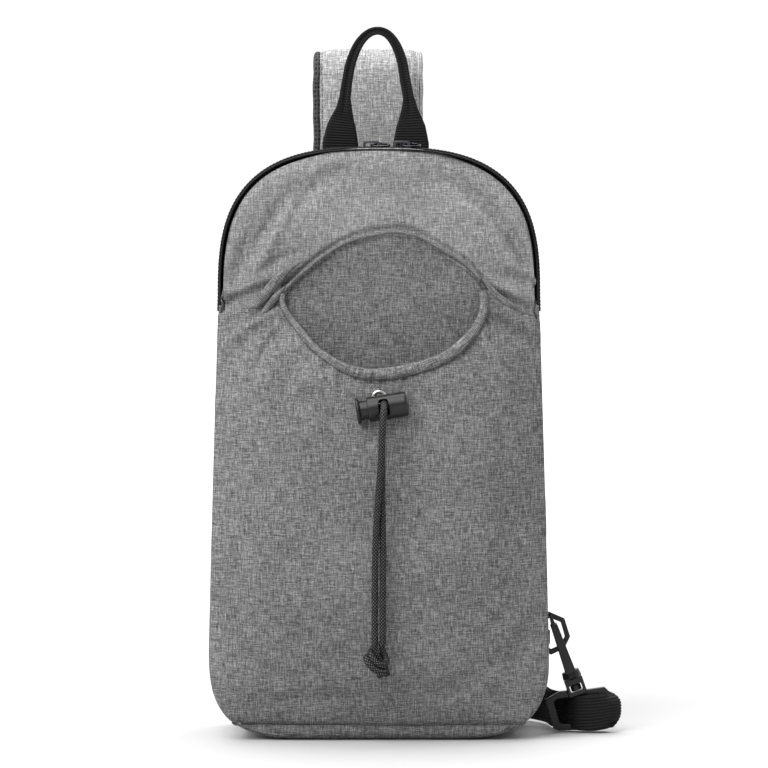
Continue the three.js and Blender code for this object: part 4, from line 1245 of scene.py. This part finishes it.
def add_moulded_parts():
    for node, body, voxel, rounds in (
        ("side_ring", "ring", 0.25, 5), ("hook_frame", "root", 0.3, 6), ("hook_body", "hook", 0.25, 5),
        ("hook_gate", "gate", 0.25, 3), ("strap_adjuster", "adjuster", 0.3, 5),
    ):
        softened(node, PLASTIC, body, voxel, rounds)
    for node, body in (("zip_slider_left", "left_slider"), ("zip_pull_left", "left_pull"),
                       ("zip_slider_right", "right_slider"), ("zip_pull_right", "right_pull")):
        softened(node, GUNMETAL, body, 0.14, 4)
    dress("cord_lock_spring", STEEL)


# ---------------------------------------------------------------- webbing and strap
def ribs(pitch, depth, lengthwise=False):
    """A shape rule that presses ribs into a webbing band, across it or along it."""
    def shape(w, n, length, width):
        phase = w / pitch if lengthwise else length / pitch
        groove = depth * (0.5 - 0.5 * np.cos(2 * np.pi * phase))
        return w, n - np.sign(n) * groove * np.minimum(np.abs(n) * 2, 1)
    return shape


def add_handle():
    """Full-width webbing at the feet, folded in half over the arch."""
    y = 14

    def stop(x, z, across, width):
        return ((x, y, z), across, width)
    left = [
        stop(-23, 346.6, (1, 0, 0), 21.4), stop(-23, 351, (1, 0, 0), 21.4), stop(-22.4, 361, (1, 0, 0), 17.4),
        stop(-20.9, 371, (1, 0, 0), 10), stop(-20.3, 378, (1, 0, 0), 7), stop(-18.6, 390, (1, 0, 0.15), 6.4),
        stop(-16.4, 400, (1, 0, 0.3), 6.2),
    ]
    arch = [
        stop(-12.3, 409.5, (0.75, 0, -0.65), 5.8), stop(-7, 415.6, (0.4, 0, -0.9), 5.2),
        stop(-1, 417.8, (0, 0, -1), 4.8), stop(5, 415.8, (-0.4, 0, -0.9), 5.2),
        stop(10, 409.5, (-0.75, 0, -0.65), 5.8),
    ]
    right = [
        stop(13.6, 400, (-1, 0, 0.3), 6.2), stop(15.4, 390, (-1, 0, 0.15), 6.4),
        stop(17.6, 378, (-1, 0, 0), 6.8), stop(18.3, 371, (-1, 0, 0), 10),
        stop(19, 361, (-1, 0, 0), 17.4), stop(19.1, 351, (-1, 0, 0), 21.4),
        stop(19.1, 346.6, (-1, 0, 0), 21.4),
    ]
    rib = ribs(1.55, 0.28)

    def shape(w, n, length, width):
        folded = np.clip((14 - width) / 7, 0, 1)
        thick = lerp(0.95, 2.4, folded)
        valley = folded * 0.9 * np.exp(-(w / 0.9)**2)
        return rib(w, n * thick - np.sign(n) * valley, length, width)
    stops = left + arch + right
    obj, _ = strip("grab_handle_webbing", stops, 1.9, WEBBING, 1100, body=None, around=40, shape=shape)
    stand_in("grab_handle")
    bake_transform(obj)


def strap_path():
    """The strap's middle line in y and z."""
    path = [(BACK_Y + 6.5 + (z - 322) / 120, z) for z in (322, 340, 358, 376)]
    for degrees in np.arange(180, -1, -22.5):
        angle = math.radians(degrees)
        path.append((BACK_Y + 21 + FOLD_RADIUS * math.cos(angle), FOLD_Z + FOLD_RADIUS * math.sin(angle)))
    hanging = [(35.5, 370), (36.5, 330), (37.5, 280), (38, 230), (37.5, 180), (36, 130), (34.5, 95),
               (33.5, 70)]
    return path + [(BACK_Y + y, z) for y, z in hanging]


def add_strap():
    """A padded strap: light face over foam, with a bound edge and a row of stitches each side."""
    line = catmull([(STRAP_X, y, z) for y, z in strap_path()], 420)
    _, side, normal = frames(line, (1, 0, 0))
    length = distance_along(line)
    half = STRAP_WIDTH / 2
    columns = 90
    u = np.linspace(-1, 1, columns)
    face_sign = -1 if normal[0] @ np.array([0, -1, 0]) < 0 else 1

    def layer(name, offset, dome, roll, material, slot, inset, seed, short=0.0):
        edge = np.abs(u)
        crownline = dome * (1 - edge**6) - roll * np.exp(-((1 - edge) / 0.03)**2)
        groove = -0.8 * np.exp(-((edge - 0.9) / 0.018)**2)
        height = offset + crownline + groove
        width = (half - inset) * u - short * (u + 1) / 2
        points = (line[:, None] + side[:, None] * (width[None, :, None])
                  + normal[:, None] * face_sign * height[None, :, None])
        uv = grid_of(width[None, :], length[:, None])
        bumps = 0.5 * lumps(uv, 26, seed)
        points = points + normal[:, None] * face_sign * bumps[..., None]
        points[..., 0] += 0.6 * lumps(np.stack([length * 0 + seed, length], axis=1), 18, seed)[:, None]
        obj = fabric(name, points, uv, material, 1.2)
        face_out(obj.data)
        return obj, points
    face, face_points = layer("strap_face_cloth", 2.6, 2.2, 2.4, HEATHER_LIGHT, "heather_fabric", 1.0, 2.5)
    back, _ = layer("strap_mesh_cloth", -2.6, -2.0, -1.6, AIR_MESH, "spacer_mesh", 0.0, 7.5, 3.4)
    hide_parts("strap_face")
    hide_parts("strap_mesh")
    dress("strap_foam", FOAM)
    for index, column in enumerate((4, columns - 5)):
        out = normal * face_sign
        stitches(f"strap_stitches_{index + 1}", face_points[2:-2, column] + out[2:-2] * 0.2,
                        out[2:-2], 3.2, 2.3, 0.22)
    for index, row in enumerate((-6, -26)):
        across = face_points[row, 6:-6]
        out = (normal * face_sign)[row]
        stitches(f"strap_end_stitches_{index + 1}", across + out * 0.15, out, 3.2, 2.3, 0.22)
    angle = circle(14)
    ripple = 0.5 * np.sin(length / 7.3) + 0.4 * np.sin(length / 3.1)
    uv = grid_of(length[:, None], angle[None, :] * 2.6)
    edges = ((-1, 2.6, AIR_MESH, "spacer_mesh"), (1, 1.2, HEATHER_LIGHT, "heather_fabric"))
    for index, (sign, wide, material, slot) in enumerate(edges):
        core = line + side * sign * (half - 0.7 + 0.4 * ripple[:, None])
        rings = swept(core, side, normal, wide, 3.4, angle)
        tube(f"strap_binding_{index + 1}", rings, uv, material)


FOLD_FROM_END = 34              # the webbing's fold, measured back from its sewn end


def add_lower_webbing():
    """The strap's webbing: down behind the bag, along the floor on its edge and round the hook's frame."""
    width = 22
    low = width / 2 + 0.6
    up = (0, 0.05, 1)
    adjuster = 14.4

    def upright(x, y, z=low):
        return ((x, y, z), up, width)
    stops = [
        ((STRAP_X, BACK_Y + 33.6, 74), (-1, 0, 0), width),
        ((STRAP_X, BACK_Y + 32, 48), (-1, 0, 0.2), width),
        ((-1, BACK_Y + 29, 30), (-0.75, 0, 0.65), width),
        ((9, BACK_Y + 24, 17), (-0.3, 0, 0.95), width),
        upright(25, BACK_Y + 20, adjuster), upright(45, BACK_Y + 20, adjuster),
        upright(65, BACK_Y + 19.6, adjuster), upright(86, BACK_Y + 15, low + 1),
        upright(100, 42), upright(104.5, 20), upright(113, 7), upright(127, 5), upright(139, 4, low + 1),
        upright(144, 0, low + 2.4), upright(139, -4.6, low + 1.8), upright(127, -5.6, low + 0.2),
        ((118.5, -4.2, low - 0.2), up, 20.5), ((113.5, 0.2, low - 0.4), up, 17.5),
    ]
    rib = ribs(1.85, 0.45, True)

    def shape(w, n, length, width):
        w, n = rib(w, n, length, width)
        total = float(length[-1, 0])
        fold = total - FOLD_FROM_END
        lag = 7.5 * np.exp(-((length - fold) / 9.0)**4) * np.abs(2 * w / width)**3.2
        return w * (1 - 0.06 * np.exp(-((length - fold) / 16)**2)), n + lag

    obj, _ = strip("lower_webbing_weave", stops, 1.8, WEBBING, 700, around=160, shape=shape)
    stand_in("lower_webbing")


def add_ring_tab():
    ring = 97.2 + 1.5
    reach = 1.5 + 0.35 + 0.8
    gusset = 96.7
    fold = [(gusset, 8.5), (gusset + 0.1, 4.8), (ring - 0.5, reach + 0.2), (ring + 1.5, reach - 0.3),
            (ring + reach + 0.3, 0), (ring + 1.5, 0.3 - reach), (ring - 0.5, -reach - 0.2),
            (gusset + 0.1, -4.8), (gusset, -8.5)]
    stops = [((x, y - 0.2, 56.6), (0, 0, 1), 8.6) for x, y in fold]
    obj, _ = strip("ring_tab_weave", stops, 0.8, WEBBING, 160, around=40, shape=ribs(1.2, 0.12, True))
    stand_in("ring_tab")


# ---------------------------------------------------------------- studio
SKY_FRONT = 0.25
SKY_BACK = 1.04
KEY_LIGHT = 3.8
TOP_LIGHT = 3.0


def add_studio():
    """A wide pale floor, a white sky that is dimmer towards the front, a soft key and a soft top light."""
    size = 60
    mesh = bpy.data.meshes.new("floor")
    corners = [(-size, -size, 0), (size, -size, 0), (size, size, 0), (-size, size, 0)]
    mesh.from_pydata(corners, [], [(0, 1, 2, 3)])
    floor = link("studio_floor", mesh, floor_material(), None)
    floor.location.z = -0.0004
    world = bpy.data.worlds.new("studio")
    bpy.context.scene.world = world
    world.use_nodes = True
    tree = world.node_tree
    direction = tree.nodes.new("ShaderNodeTexCoord")
    split = tree.nodes.new("ShaderNodeSeparateXYZ")
    tree.links.new(direction.outputs["Generated"], split.inputs["Vector"])
    span = tree.nodes.new("ShaderNodeMapRange")
    for key, value in (("From Min", -0.95), ("From Max", 0.0), ("To Min", SKY_FRONT), ("To Max", SKY_BACK)):
        span.inputs[key].default_value = value
    tree.links.new(split.outputs["Y"], span.inputs["Value"])
    tree.links.new(span.outputs["Result"], tree.nodes["Background"].inputs["Strength"])
    tree.nodes["Background"].inputs["Color"].default_value = (1, 1, 1, 1)
    for name, toward, strength, softness in (
        ("key", (-0.52, -0.68, 0.85), KEY_LIGHT, 55), ("top", (-0.05, 0.42, 1.0), TOP_LIGHT, 60),
    ):
        data = bpy.data.lights.new(name, "SUN")
        data.energy = strength
        data.angle = math.radians(softness)
        lamp = bpy.data.objects.new(name, data)
        lamp.rotation_euler = Vector(toward).to_track_quat("Z", "Y").to_euler()
        bpy.context.scene.collection.objects.link(lamp)
    bpy.context.scene.view_settings.view_transform = "Standard"


# ---------------------------------------------------------------- the whole bag
add_camera()
add_drawcord()
add_pocket_front()
add_front_panel()
add_pocket_back()
add_mouth_hem()
add_gussets()
add_bottom()
add_dome_and_zip()
add_back_panel()
add_piping()
add_eyelet()
add_cord_lock()
add_moulded_parts()
add_handle()
add_strap()
add_lower_webbing()
add_ring_tab()
add_studio()
